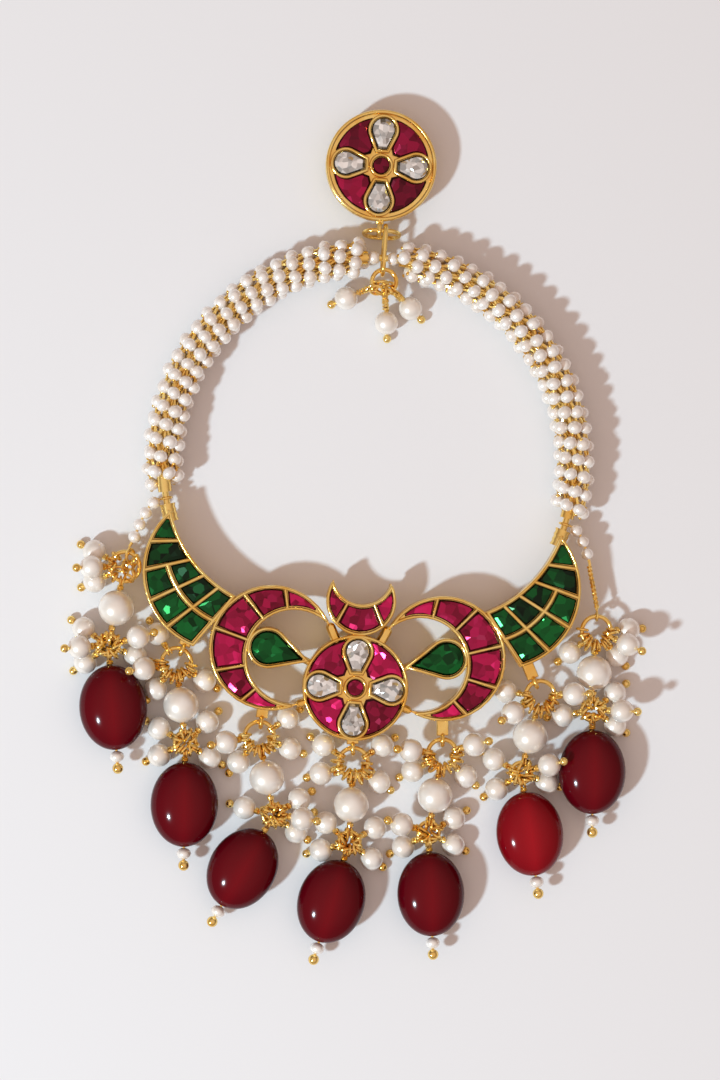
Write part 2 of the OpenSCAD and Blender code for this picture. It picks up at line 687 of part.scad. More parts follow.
module drop_pins(i) {
    d = DROPS[i];
    color(GOLD) {
        at_upper(i) for (p = d[UPPER]) on_ring(upper_r, p[0], p[1]) pearl_pin();
        at_upper(i) on_ring(upper_r, d[LEAN], 0) {
            pin_loop();
            rod(neck_from, 2 * half_bridge - neck_from, pin_d);
            translate([0, -2 * half_bridge, 0]) mirror([0, 1, 0]) pin_loop();
        }
        at_lower(i) for (p = d[LOWER]) on_ring(lower_r, p[0], p[1]) pearl_pin();
        at_lower(i) on_ring(lower_r, d[BEAD], 0) {
            pin_loop();
            rod(neck_from, end_reach, pin_d);
            translate([0, -end_reach, 0]) sphere(d = bead_ball_d);
        }
    }
}

module drop_pearls(i) {
    d = DROPS[i];
    color(PEARL) {
        at_upper(i) for (p = d[UPPER]) on_ring(upper_r, p[0], p[1]) pin_pearl();
        at_lower(i) for (p = d[LOWER]) on_ring(lower_r, p[0], p[1]) pin_pearl();
    }
}

module drop_large_pearl(i) {
    color(PEARL) at_upper(i) on_ring(upper_r, DROPS[i][LEAN], 0)
        translate([0, -half_bridge, 0]) drilled_ball(large_pearl_d);
}

module drop_bead(i) {
    at_lower(i) on_ring(lower_r, DROPS[i][BEAD], 0) {
        color(RED_BEAD) translate([0, -bead_reach, 0]) difference() {
            scale([bead_w / 2, bead_l / 2, bead_t / 2]) sphere(1);
            rod(-bead_l, bead_l, bore_d);
        }
        color(PEARL) translate([0, -seed_reach, 0]) difference() {
            scale([1, seed_l / seed_d, 1]) sphere(d = seed_d);
            rod(-seed_d, seed_d, bore_d);
        }
    }
}

stud_setting();
stud_polki();
stud_rubies();
ear_clip();
stud_link();
hoop_link();
top_ring();
top_pins();
top_pearls();
hoop_wire();
hoop_weave();
side_string_left();
side_string_right();
chand_frame();
at_plaque() mirror([1, 0, 0]) horn_emeralds();  // left_horn_emeralds
at_plaque() horn_emeralds();  // right_horn_emeralds
at_plaque() mirror([1, 0, 0]) curl_rubies();  // left_curl_rubies
at_plaque() curl_rubies();  // right_curl_rubies
crown_rubies();
flower_polki();
flower_rubies();
at_plaque() mirror([1, 0, 0]) pear_emerald();  // left_pear_emerald
at_plaque() pear_emerald();  // right_pear_emerald
for (i = DROP_IDS) {
    drop_links(i);
    drop_pins(i);
    drop_pearls(i);
    drop_large_pearl(i);
    drop_bead(i);
}
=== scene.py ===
import math
import random
from collections import namedtuple

import bpy
import numpy as np
from mathutils import Matrix, Vector


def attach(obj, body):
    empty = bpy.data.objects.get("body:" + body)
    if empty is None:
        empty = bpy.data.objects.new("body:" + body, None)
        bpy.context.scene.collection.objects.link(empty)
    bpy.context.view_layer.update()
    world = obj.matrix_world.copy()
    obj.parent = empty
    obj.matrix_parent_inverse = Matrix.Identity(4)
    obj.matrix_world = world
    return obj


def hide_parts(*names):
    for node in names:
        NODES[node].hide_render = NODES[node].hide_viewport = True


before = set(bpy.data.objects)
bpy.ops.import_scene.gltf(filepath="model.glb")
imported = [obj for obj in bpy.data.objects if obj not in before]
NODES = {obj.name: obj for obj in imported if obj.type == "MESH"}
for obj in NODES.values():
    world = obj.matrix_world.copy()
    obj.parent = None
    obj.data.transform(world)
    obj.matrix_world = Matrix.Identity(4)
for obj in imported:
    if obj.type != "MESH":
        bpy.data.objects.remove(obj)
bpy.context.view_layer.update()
random.seed(11)

# Edges sharper than this stay crisp, in degrees
CREASE = 50

# Shapes are worked out in millimetres, in the CAD's frame, and made in metres
MM = 0.001

# Places and sizes of the CAD part
AXIS_Z = 3.0
LIE_SHIFT = 1.2
HOOP_Y = -40.4
HOOP_R = 28.0
PLAQUE_DROP = 30.4
PLAQUE_Y = HOOP_Y - PLAQUE_DROP
PLAQUE_TOP = 5.4
STUD_TOP = 4.1
STUD_R = 7.0
STUD_DISC_R = 7.5
EYE_R = 1.15
SOCKET_R = 1.0
SOCKET_FROM = 15.2
SOCKET_END = 19.6
BAIL_R = 0.85
FLOWER_R = 7.2
POCKET_T = 1.3
STONE_GAP = 0.08
RIM = 0.44
CORE_R = 0.45
WEAVE_END = 11.5
WEAVE_GAP = 2.4
SEED_R = 1.0
SMALL_R = 1.625
LARGE_R = 2.45
RING_WIRE_R = 0.3
PIN_R = 0.18
LOOP_R = 0.58
NECK_FROM = LOOP_R + PIN_R - 0.06
NECK_L = 0.5
BORE_GAP = 0.1
BALL_R = 0.6
BEAD_BALL_R = 0.75
BEAD = (4.6, 5.8, 3.0)
UPPER_R = 2.0
LOWER_R = 1.4
FLOOR_GAP = 0.05
TOP_RING_R = 1.65
TOP_RING = (LIE_SHIFT + 0.3, HOOP_Y + HOOP_R - 3.2, AXIS_Z + 0.1)
LINK_X = 1.2
RING_WIRE_ROOM = 0.25
LINK_ROOM = 1.75

# How fine the round shapes are: a ball's (sides, rows) and a ring's (steps, sides)
FINE_BALL = (20, 12)
SEED_BALL = (14, 8)
PIN_BALL = (12, 8)
KNOT_BALL = (8, 5)
BEAD_GRID = (40, 28)
LOOP_MESH = (14, 6)
FAN_MESH = (16, 6)
BAIL_MESH = (24, 8)
RIM_STEPS = 72

# A way that no axis here runs along
SKEW = (0.31, 0.95, 0.05)
# Where a path turns back more sharply than this, its corner isn't mitred
SHARP_CORNER = 0.2
# A mitre is drawn out to 1 / this of the path's width at most
LEAST_MITRE = 0.55
# The rounded crest of a wall, in shares of half its width: (to the side, up from its top)
CREST = ((-1, -1), (-0.7, -0.3), (0, 0), (0.7, -0.3), (1, -1))


def direction(angle):
    return np.array([math.cos(math.radians(angle)), math.sin(math.radians(angle))])


def hang(angle):
    """The way down, turned by an angle."""
    return np.array([math.sin(math.radians(angle)), -math.cos(math.radians(angle))])


def flat(point, z=0.0):
    return np.array([point[0], point[1], z])


def unit(v):
    return v / np.linalg.norm(v)


def squared(axis):
    """The axis as a unit vector, and two ways square to it."""
    axis = unit(np.array(axis, float))
    side = unit(np.cross(axis, SKEW))
    return axis, side, np.cross(axis, side)


def around(side, other, turn):
    return side * math.cos(turn) + other * math.sin(turn)


def across(path, closed):
    """At each point of a level path, the mitred way to its right."""
    count = len(path)
    ways = []
    for i in range(count):
        here = path[i]
        before = path[i - 1] if closed or i > 0 else None
        after = path[(i + 1) % count] if closed or i < count - 1 else None
        a = unit(here - before) if before is not None else unit(after - here)
        b = unit(after - here) if after is not None else a
        na, nb = np.array([a[1], -a[0]]), np.array([b[1], -b[0]])
        both = na + nb
        length = np.linalg.norm(both)
        both = both / length if length > SHARP_CORNER else na
        ways.append(both / max(both @ na, LEAST_MITRE))
    return ways


def grown(outline, distance):
    """The outline moved outwards, for one that runs counterclockwise."""
    return [p + way * distance for p, way in zip(outline, across(outline, True))]


def moved(outline, by):
    return [p + by for p in outline]


def mirrored(outline):
    return [np.array([-p[0], p[1]]) for p in outline[::-1]]


def turned(outline, angle):
    c, s = direction(angle)
    return [np.array([p[0] * c - p[1] * s, p[0] * s + p[1] * c]) for p in outline]


def bands(rows, count):
    """The faces between closed rows of points, each of that count."""
    return [(k * count + i, k * count + (i + 1) % count,
             (k + 1) * count + (i + 1) % count, (k + 1) * count + i)
            for k in range(rows - 1) for i in range(count)]


class Shape:
    """Points in millimetres and faces that become one Blender mesh."""

    def __init__(self):
        self.points = []
        self.faces = []

    def add(self, points, faces):
        start = len(self.points)
        self.points.extend([tuple(p) for p in points])
        self.faces.extend([tuple(i + start for i in f) for f in faces])

    def ball(self, centre, radius, sides, rows, axis, stretch=1.0):
        """A ball whose poles lie on the axis, along which it is stretched."""
        axis, side, other = squared(axis)
        points = [np.array(centre) + axis * radius * stretch]
        for row in range(1, rows):
            tilt = math.pi * row / rows
            for k in range(sides):
                out = around(side, other, 2 * math.pi * k / sides)
                points.append(np.array(centre) + radius * (
                    out * math.sin(tilt) + axis * stretch * math.cos(tilt)))
        points.append(np.array(centre) - axis * radius * stretch)
        last = len(points) - 1
        faces = []
        for k in range(sides):
            j = (k + 1) % sides
            faces.append((0, 1 + k, 1 + j))
            for row in range(rows - 2):
                a = 1 + row * sides
                faces.append((a + k, a + sides + k, a + sides + j, a + j))
            faces.append((last, last - sides + j, last - sides + k))
        self.add(points, faces)

    def tube(self, path, radius, sides=6, closed=False):
        """A round wire through the points of a path."""
        path = [np.array(p, float) for p in path]
        count = len(path)
        normal = None
        points = []
        for i in range(count):
            before = path[i - 1] if closed or i > 0 else path[i]
            after = path[(i + 1) % count] if closed or i < count - 1 else path[i]
            way = unit(after - before)
            if normal is None:
                normal = np.cross(way, (0, 0, 1) if abs(way[2]) < 0.9 else (1, 0, 0))
            normal = unit(normal - way * np.dot(normal, way))
            other = np.cross(way, normal)
            points += [path[i] + radius * around(normal, other, 2 * math.pi * k / sides)
                       for k in range(sides)]
        faces = []
        for i in range(count if closed else count - 1):
            a, b = i * sides, ((i + 1) % count) * sides
            for k in range(sides):
                j = (k + 1) % sides
                faces.append((a + k, a + j, b + j, b + k))
        if not closed:
            faces.append(tuple(range(sides - 1, -1, -1)))
            faces.append(tuple((count - 1) * sides + k for k in range(sides)))
        self.add(points, faces)

    def ring(self, centre, axis, radius, wire, steps=20, sides=6):
        """A ring of round wire about an axis."""
        axis, side, other = squared(axis)
        self.tube([np.array(centre) + radius * around(side, other, 2 * math.pi * k / steps)
                   for k in range(steps)], wire, sides, closed=True)

    def coil(self, start, axis, length, radius, wire, turns, steps=9, sides=5):
        """Wire wound round an axis from the start point on."""
        axis, side, other = squared(axis)
        count = int(turns * steps)
        self.tube([np.array(start) + axis * length * i / count
                   + radius * around(side, other, 2 * math.pi * i / steps)
                   for i in range(count + 1)], wire, sides)

    def rib(self, path, half, low, top, closed=False):
        """An upright wall with a rounded crest along a level path of 2D points."""
        profile = [(-half, low), *((x * half, top + z * half) for x, z in CREST), (half, low)]
        sides = across(path, closed)
        points = [flat(p + side * x, z) for p, side in zip(path, sides) for x, z in profile]
        count, wide = len(path), len(profile)
        faces = []
        for i in range(count if closed else count - 1):
            a, b = i * wide, ((i + 1) % count) * wide
            faces.extend([(a + k, b + k, b + k + 1, a + k + 1) for k in range(wide - 1)])
        if not closed:
            faces.append(tuple(range(wide)))
            faces.append(tuple((count - 1) * wide + k for k in range(wide - 1, -1, -1)))
        self.add(points, faces)

    def plate(self, outline, levels):
        """A plate of a counterclockwise outline; levels lists (how far drawn in, height).
        Its faces span from each point to the one as far from the outline's other end."""
        rows = [[flat(p, z) for p in grown(outline, -inset)] for inset, z in levels]
        count = len(outline)
        faces = []
        top = (len(rows) - 1) * count
        for i in range((count - 1) // 2):
            a, b, c, d = i, i + 1, count - 2 - i, count - 1 - i
            corners = (a, b, d) if b == c else (a, b, c, d)
            faces.append(tuple(top + k for k in corners))
            faces.append(corners[::-1])
        self.add([p for row in rows for p in row], faces + bands(len(rows), count))

    def make(self, name, material, slot, nodes=(), smooth=True):
        """The finished piece: it rides on the part and stands for the CAD nodes named."""
        mesh = bpy.data.meshes.new(name)
        mesh.from_pydata([tuple(c * MM for c in p) for p in self.points], [], self.faces)
        mesh.polygons.foreach_set("use_smooth", [smooth] * len(mesh.polygons))
        if smooth:
            mesh.set_sharp_from_angle(angle=math.radians(CREASE))
        piece = bpy.data.objects.new(name, mesh)
        mesh.materials.append(material)
        bpy.context.scene.collection.objects.link(piece)
        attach(piece, "root")
        if nodes:
            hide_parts(*nodes)
        return piece


# Materials
FLOOR_COLOUR = (0.83, 0.80, 0.80, 1)
GOLD_TONES = ((0.90, 0.54, 0.12), (1.0, 0.76, 0.27))
GOLD_DRIFT = 300
GOLD_GRAIN = 800
GRAIN_STRENGTH = 0.5
GRAIN_DEPTH = 0.0001
PEARL_DRIFT = 420
DRIFT_STOPS = (0.35, 0.65)
FOIL_STOPS = (0.2, 0.85)
# The painted shadow line round a stone: what it leaves of the colour, and how softly it starts
EDGE_SHADE = 0.18
EDGE_SOFTNESS = 0.03
# own_share is how much of its shade a stone has to itself, patch and tilt are the foil's
# scale and lean, and facets whose normals point up less than steep are in the painted shadow line
GLASS = {"own_share": 0.55, "metallic": 0.65, "roughness": 0.2, "patch": 900, "tilt": 0.7,
         "steep": 0.91}
CLEAR_GLASS = {"own_share": 0.15, "metallic": 0.7, "roughness": 0.1, "patch": 1500,
               "tilt": 0.85, "steep": 0.7}


def new_material(name, **values):
    material = bpy.data.materials.new(name)
    material.use_nodes = True
    shader = material.node_tree.nodes["Principled BSDF"]
    for key, value in values.items():
        shader.inputs[key.replace("_", " ")].default_value = value
    return material, material.node_tree, shader


def fill(tree, node, inputs):
    """Sets each input named: a socket is linked to it, and anything else is its value."""
    for key, value in inputs.items():
        if isinstance(value, bpy.types.NodeSocket):
            tree.links.new(value, node.inputs[key])
        else:
            node.inputs[key].default_value = value
    return node


def new_node(tree, kind, inputs):
    return fill(tree, tree.nodes.new("ShaderNode" + kind), inputs)


def maths(tree, kind, operation, inputs):
    """What a Math or VectorMath node gives."""
    node = tree.nodes.new("ShaderNode" + kind)
    node.operation = operation
    return fill(tree, node, inputs).outputs[0]


def texture(tree, kind, scale):
    """A texture laid over the object's own coordinates."""
    place = tree.nodes.new("ShaderNodeTexCoord")
    return new_node(tree, kind, {"Scale": scale, "Vector": place.outputs["Object"]})


def two_tones(tree, value, tones, stops=(0.0, 1.0)):
    """The colour between two that a value from the first stop to the second stands for."""
    ramp = new_node(tree, "ValToRGB", {"Fac": value})
    for element, stop, tone in zip(ramp.color_ramp.elements, stops, tones):
        element.position = stop
        element.color = (*tone, 1)
    return ramp.outputs["Color"]


def drifting(tree, tones, scale):
    """A colour that drifts between two over the surface."""
    noise = texture(tree, "TexNoise", scale)
    return two_tones(tree, noise.outputs["Fac"], tones, DRIFT_STOPS)


def gold_material():
    material, tree, shader = new_material("gold", Metallic=0.94, Roughness=0.16)
    grain = texture(tree, "TexNoise", GOLD_GRAIN)
    bump = new_node(tree, "Bump", {"Strength": GRAIN_STRENGTH, "Distance": GRAIN_DEPTH,
                                   "Height": grain.outputs["Fac"]})
    fill(tree, shader, {"Base Color": drifting(tree, GOLD_TONES, GOLD_DRIFT),
                        "Normal": bump.outputs["Normal"]})
    return material


def pearl_material(name, low, high):
    material, tree, shader = new_material(
        name, Metallic=0.3, Roughness=0.32, Coat_Weight=0.9, Coat_Roughness=0.07)
    fill(tree, shader, {"Base Color": drifting(tree, (low, high), PEARL_DRIFT)})
    return material


def foil(tree, surface, scale, tilt):
    """The crinkled foil under a stone: small flat patches, each tilted its own way."""
    patches = texture(tree, "TexVoronoi", scale).outputs["Color"]
    lean = maths(tree, "VectorMath", "SUBTRACT", {0: patches, 1: (0.5, 0.5, 0.5)})
    lean = maths(tree, "VectorMath", "SCALE", {0: lean, "Scale": tilt})
    leaned = maths(tree, "VectorMath", "ADD", {0: lean, 1: surface.outputs["Normal"]})
    return patches, maths(tree, "VectorMath", "NORMALIZE", {0: leaned})


def edge_shadow(tree, colour, surface, steep):
    """The painted shadow round a stone: facets that lean more than steep allows are darker."""
    parts = new_node(tree, "SeparateXYZ", {0: surface.outputs["True Normal"]})
    amount = new_node(tree, "MapRange", {
        "Value": parts.outputs["Z"], "From Min": steep - EDGE_SOFTNESS, "From Max": steep,
        "To Min": EDGE_SHADE, "To Max": 1.0})
    return maths(tree, "VectorMath", "SCALE", {0: colour, "Scale": amount.outputs["Result"]})


def stone_material(name, dark, light, own_share, metallic, roughness, patch, tilt, steep):
    """Glass over foil: each stone has its own shade, the foil's patches sparkle, and the leaning
    facets round its edge carry painted shadow.
    """
    material, tree, shader = new_material(
        name, Metallic=metallic, Roughness=roughness, Specular_IOR_Level=0.25,
        Coat_Weight=0.2, Coat_Roughness=0.03)
    surface = tree.nodes.new("ShaderNodeNewGeometry")
    patches, normal = foil(tree, surface, patch, tilt)
    channels = new_node(tree, "SeparateColor", {"Color": patches})
    own = maths(tree, "Math", "MULTIPLY",
                {0: surface.outputs["Random Per Island"], 1: own_share})
    shade = maths(tree, "Math", "MULTIPLY_ADD",
                  {0: channels.outputs["Blue"], 1: 1 - own_share, 2: own})
    colour = two_tones(tree, shade, (dark, light), FOIL_STOPS)
    fill(tree, shader, {"Base Color": edge_shadow(tree, colour, surface, steep),
                        "Normal": normal})
    return material


def bead_material(name, shaded_edge, lit_heart):
    material, tree, shader = new_material(name, Roughness=0.12, Specular_IOR_Level=0.16)
    # The colour runs from painted shade at the edge to the painted glow of the heart, by a point
    # attribute
    painted_glow = tree.nodes.new("ShaderNodeAttribute")
    painted_glow.attribute_name = "painted_glow"
    fill(tree, shader, {"Base Color": two_tones(tree, painted_glow.outputs["Fac"], (shaded_edge, lit_heart))})
    return material


GOLD = gold_material()
SEED = pearl_material("seed_pearl", (0.90, 0.79, 0.70), (0.97, 0.91, 0.86))
PEARL = pearl_material("pearl", (0.88, 0.77, 0.67), (0.96, 0.89, 0.82))
RUBY = stone_material("ruby", (0.18, 0.002, 0.022), (0.72, 0.012, 0.12), **GLASS)
DARK_RUBY = stone_material("dark_ruby", (0.10, 0.001, 0.012), (0.42, 0.006, 0.06), **GLASS)
EMERALD = stone_material("emerald", (0.0, 0.010, 0.002), (0.003, 0.15, 0.025), **GLASS)
POLKI = stone_material("polki", (0.54, 0.53, 0.51), (1.0, 0.99, 0.97), **CLEAR_GLASS)
# Red beads: the colour of the painted shade at the edge, then that of the painted glow in the
# heart
RED = bead_material("red_bead", (0.05, 0.001, 0.004), (0.165, 0.001, 0.005))
BRIGHT_RED = bead_material("bright_red_bead", (0.12, 0.001, 0.004), (0.34, 0.004, 0.010))
BRIGHT_BEAD = 5


# Fields of stones between two circles, cut by a fan of walls that runs out from a pole
Field = namedtuple("Field", "pole inner inner_r outer outer_r wall")


def angle_of(way):
    return math.degrees(math.atan2(way[1], way[0]))


def reach(pole, angle, centre, radius):
    """How far it is from the pole, that way, to the circle."""
    d = direction(angle)
    off = np.array(pole) - np.array(centre)
    b = off @ d
    return -b + math.sqrt(b * b - off @ off + radius * radius)


def inner_reach(field, angle):
    return reach(field.pole, angle, field.inner, field.inner_r)


def outer_reach(field, angle):
    return reach(field.pole, angle, field.outer, field.outer_r)


def from_pole(field, angle, r):
    return np.array(field.pole) + r * direction(angle)


def arc_centre(p, q, r):
    """The centre, to the right of the way from p to q, of the circle of radius r through both."""
    half = (q - p) / 2
    return (p + q) / 2 + math.sqrt(r * r - half @ half) * np.array([half[1], -half[0]]) / (
        np.linalg.norm(half))


CURL_C = (11.7, 4.7)
CURL_EYE_C = (8.6, 3.65)
CURL = Field(CURL_EYE_C, CURL_EYE_C, 6.4, CURL_C, 8.5, 0.42)
CURL_WALLS = (113, 79, 48, 17, -13, -43, -76)
CROWN_R = 4.7
CROWN_C = (0.0, FLOWER_R + CROWN_R - 0.1)
CROWN_EYE_C = (0.0, CROWN_C[1] + 3.55)
CROWN = Field(CROWN_EYE_C, CROWN_EYE_C, 4.0, CROWN_C, CROWN_R, 0.4)
CROWN_WALLS = (-25, -65, -115, -155)
HORN_TIP_AT = np.array([0, PLAQUE_DROP]) + (HOOP_R - 0.3) * direction(-16.8)
HORN_FOOT = -54.5
HORN_FOOT_REACH = 15.0
HORN_INNER_R = 17.2
HORN_OUTER_R = 10.9


def on_foot(t):
    """A point on the line along which the horn's foot is soldered to the curl."""
    return (np.array(CURL_C) + (CURL.outer_r - 0.23) * direction(HORN_FOOT + 90)
            + t * direction(HORN_FOOT))


HORN_POLE = on_foot(-12.28)
HORN = Field(HORN_POLE, arc_centre(HORN_TIP_AT, on_foot(-2.36), HORN_INNER_R), HORN_INNER_R,
             arc_centre(HORN_TIP_AT, on_foot(6.5), HORN_OUTER_R), HORN_OUTER_R, 0.56)
HORN_TIP = angle_of(HORN_TIP_AT - HORN_POLE)
# A horn's walls, in shares of the way from tip to foot, and the stones between them
HORN_SHARES = (0.05, 0.235, 0.415, 0.605, 0.795, 0.985)
HORN_WALLS = [HORN_TIP + (HORN_FOOT - HORN_TIP) * share for share in HORN_SHARES]
HORN_ACROSS = (1, 1, 2, 2, 2)
ARC_STEPS = 6


def edge_points(field, a, b, share, inset, steps):
    """Points along a share of the way across the field, from the fan's angle a to b."""
    points = []
    for i in range(steps + 1):
        angle = a + (b - a) * i / steps
        low, high = inner_reach(field, angle), outer_reach(field, angle)
        points.append(from_pole(field, angle, low + (high - low) * share + inset))
    return points


def cell(field, a, b, s0=0.0, s1=1.0):
    """The outline of one stone, counterclockwise, with b < a, from share s0 to s1 across."""
    low = (RIM if s0 == 0 else field.wall / 2) + STONE_GAP
    high = (RIM if s1 == 1 else field.wall / 2) + STONE_GAP
    half_wall = math.degrees((field.wall / 2 + STONE_GAP) / outer_reach(field, (a + b) / 2))
    inner = edge_points(field, a - half_wall, b + half_wall, s0, low, ARC_STEPS)
    outer = edge_points(field, b + half_wall, a - half_wall, s1, -high, ARC_STEPS)
    return (inner + outer)[::-1]


def fan(field, walls):
    return [cell(field, a, b) for a, b in zip(walls, walls[1:])]


def horn_cells():
    return [cell(HORN, a, b, k / abreast, (k + 1) / abreast)
            for a, b, abreast in zip(HORN_WALLS, HORN_WALLS[1:], HORN_ACROSS)
            for k in range(abreast)]


def pear_outline(centre, r, tip, steps=22):
    """A circle drawn out to a tip, which is given from the circle's centre."""
    start = angle_of(tip)
    half = math.degrees(math.acos(r / np.linalg.norm(tip)))
    points = [np.array(centre) + r * direction(start + half + i * (360 - 2 * half) / steps)
              for i in range(steps + 1)]
    return points + [np.array(centre) + np.array(tip)]


PEAR_R = 2.3
PEAR_TIP = (-4.9, -1.3)
PEAR_ROOM = 0.4
PEAR_SEAT = math.sqrt(CURL.inner_r ** 2 - (CURL_C[1] - CURL_EYE_C[1]) ** 2)
PEAR = pear_outline((CURL_EYE_C[0] + PEAR_SEAT - PEAR_R - PEAR_ROOM, CURL_C[1]), PEAR_R, PEAR_TIP)

# A flower's stones, in shares of its radius: the petals, and the red stones between them
PETAL_AT = 0.685
PETAL_R = 0.235
PETAL_FOOT = (0.31, 0.09)
RED_CORNER = ((0.215, 0.215), (0.34, 0.175))
RED_CURVE_R = 0.297
RED_CURVE = (106, 94, 82, 70, 58, 47)
RED_RIM_R = 0.932
RED_RIM = range(14, 77, 6)


def petal(r):
    """The petal that points to the right."""
    x, y = PETAL_FOOT
    points = [np.array([r * PETAL_AT, 0]) + r * PETAL_R * direction(i * 12)
              for i in range(-9, 10)]
    return points + [np.array([r * x, r * y]), np.array([r * x, -r * y])]


def flower_fan(r):
    """The red stone between two petals: it fills the corner up to their bezels and the rim."""
    side = [np.array(p) for p in RED_CORNER]
    side += [np.array([PETAL_AT, 0]) + RED_CURVE_R * direction(a) for a in RED_CURVE]
    rim = [RED_RIM_R * direction(a) for a in RED_RIM]
    return [r * p for p in side + rim + [p[::-1] for p in side[:0:-1]]]


def circle(r, steps=24):
    return [r * direction(i * 360 / steps) for i in range(steps)]


def four_ways(outline):
    return [turned(outline, 90 * i) for i in range(4)]


def petals(r):
    return four_ways(petal(r))


def flower_reds(r):
    return four_ways(flower_fan(r)) + [circle(EYE_R)]


# Stones: their underside's share of the outline, the heights between which the girdle
# stands, and rings of (share of the outline's size, height above the girdle)
UNDERSIDE = 0.9
GIRDLE = (0.4, 0.8)
FLAT_TOPS = ((0.88, 0.22), (0.55, 0.3))
DOME_TOPS = ((0.88, 0.4), (0.45, 0.75))
PLAQUE_AT = np.array([LIE_SHIFT, PLAQUE_Y])
STUD_AT = np.array([0.0, 0.0])


def add_stone(shape, outline, origin, floor, tops):
    """A cut stone: a flared underside, a girdle, and rings of facets up to its middle."""
    middle = sum(outline) / len(outline)
    girdle = floor + GIRDLE[1]
    rows = [([middle + (p - middle) * UNDERSIDE for p in outline], floor),
            (outline, floor + GIRDLE[0]), (outline, girdle)]
    for share, height in tops:
        rows.append(([middle + (p - middle) * share for p in outline], girdle + height))
    count = len(outline)
    points = [flat(p + origin, z) for row, z in rows for p in row]
    points += [flat(middle + origin, floor), flat(middle + origin, rows[-1][1])]
    faces = bands(len(rows), count)
    last = len(rows) - 1
    for i in range(count):
        j = (i + 1) % count
        faces.append(((last + 1) * count, j, i))
        faces.append(((last + 1) * count + 1, last * count + i, last * count + j))
    shape.add(points, faces)


def stones(name, outlines, origin, top, tops, material, slot):
    shape = Shape()
    for outline in outlines:
        add_stone(shape, outline, origin, top - POCKET_T + STONE_GAP, tops)
    shape.make(name + "_stones", material, slot, [name], smooth=False)


def make_stones():
    sets = (("horn_emeralds", horn_cells(), FLAT_TOPS, EMERALD, "emerald"),
            ("curl_rubies", fan(CURL, CURL_WALLS), FLAT_TOPS, RUBY, "ruby"),
            ("pear_emerald", [PEAR], DOME_TOPS, EMERALD, "emerald"))
    for side, turn in (("right", list), ("left", mirrored)):
        for name, outlines, tops, material, slot in sets:
            stones(side + "_" + name, [turn(o) for o in outlines], PLAQUE_AT, PLAQUE_TOP, tops,
                   material, slot)
    stones("crown_rubies", fan(CROWN, CROWN_WALLS), PLAQUE_AT, PLAQUE_TOP, FLAT_TOPS, RUBY,
           "ruby")
    for name, origin, r, top, red in (("flower", PLAQUE_AT, FLOWER_R, PLAQUE_TOP, RUBY),
                                      ("stud", STUD_AT, STUD_R, STUD_TOP, DARK_RUBY)):
        stones(name + "_rubies", flower_reds(r), origin, top, FLAT_TOPS, red, "ruby")
        stones(name + "_polki", petals(r), origin, top, DOME_TOPS, POLKI, "polki")


# Gold settings: flat plates and upright walls on them
PLAQUE_LOW = 2.6
BASE_TOP = 4.6
PLATE = ((0.25, PLAQUE_LOW), (0, 2.9), (0, BASE_TOP))
LUMP = ((0.2, PLAQUE_LOW), (0, 2.8), (0, BASE_TOP), (0.3, 5.0))
TAB = ((0.12, PLAQUE_LOW), (0, 2.75), (0, 3.65), (0.12, 3.8))
WALL_HALF = 0.21
WALL_LOW = 4.4
WALL_TOP = PLAQUE_TOP + 0.05
CROSS_TOP = WALL_TOP - 0.04
FIELD_STEPS = 26
# How wide a crescent is where its plate ends, and where its rim does
TIP_WIDTH = 0.05
RIM_WIDTH = 0.45
# How far from the horn's tip its plate ends, and its rim, in degrees of its fan
HORN_PLATE_CUT = 0.4
HORN_RIM_CUT = 0.9
PEAR_RISE = 0.05
SOLDER_WIDTHS = (1.3, 1.0, 0.9)
SOLDER_LAP = 0.2
BEZEL_AT = STONE_GAP + WALL_HALF * 0.9
BEZEL_RISE = 0.03
# A bail's tab: half its width, and how far it reaches past both ends
TAB_HALF = 0.8
TAB_LAP = 0.7
TAB_PAST = 0.3
BAIL_Z = AXIS_Z + 0.1
# The bands round a socket: half their width, and how far they stand out
SOCKET_STEPS = 6
SOCKET_SIDES = 16
BAND_HALF = 0.12
BAND_RISE = 0.08
STUD_DISC = ((0.35, 1.9), (0.08, 2.05), (0, 2.3), (0, 3.3))
STUD_DISC_STEPS = 96
STUD_RIM_HALF = 0.26
STUD_RISE = 0.04
STUD_BAIL = np.array([0.35, -STUD_DISC_R - 1.1])
STUD_BAIL_Z = 3.2
STUD_TAB_OUTLINE = np.array([(-0.5, 0.75), (0.5, 0.75), (0.5, 1.7), (-0.5, 1.7)])
STUD_TAB = ((0.1, 2.7), (0, 2.8), (0, 3.6), (0.1, 3.7))


def field_ends(field, low, high, least, steps=720):
    """The fan's angles between which the field is at least so wide."""
    angles = [low + (high - low) * k / steps for k in range(steps + 1)]
    wide = [a for a in angles if outer_reach(field, a) - inner_reach(field, a) > least]
    return wide[-1], wide[0]


def field_outline(field, tip, foot, inset=0.0):
    """Counterclockwise, with tip above foot."""
    return (edge_points(field, foot, tip, 1, -inset, FIELD_STEPS)
            + edge_points(field, tip, foot, 0, inset, FIELD_STEPS))


def fan_wall(field, angle):
    """The ends of a wall right across the field."""
    return [from_pole(field, angle, inner_reach(field, angle) + WALL_HALF),
            from_pole(field, angle, outer_reach(field, angle) - WALL_HALF)]


def set_field(shape, turn, field, plate_ends, rim_ends, walls):
    """A field's plate, its rim and the walls across it, with ends as (tip, foot)."""
    shape.plate(turn(field_outline(field, *plate_ends)), PLATE)
    rim = field_outline(field, *rim_ends, WALL_HALF)
    shape.rib(turn(rim), WALL_HALF, WALL_LOW, WALL_TOP, closed=True)
    for angle in walls:
        shape.rib(turn(fan_wall(field, angle)), field.wall / 2, WALL_LOW, CROSS_TOP)


def set_crescent(shape, turn, field, low, high, walls):
    set_field(shape, turn, field, field_ends(field, low, high, TIP_WIDTH),
              field_ends(field, low, high, RIM_WIDTH), walls)


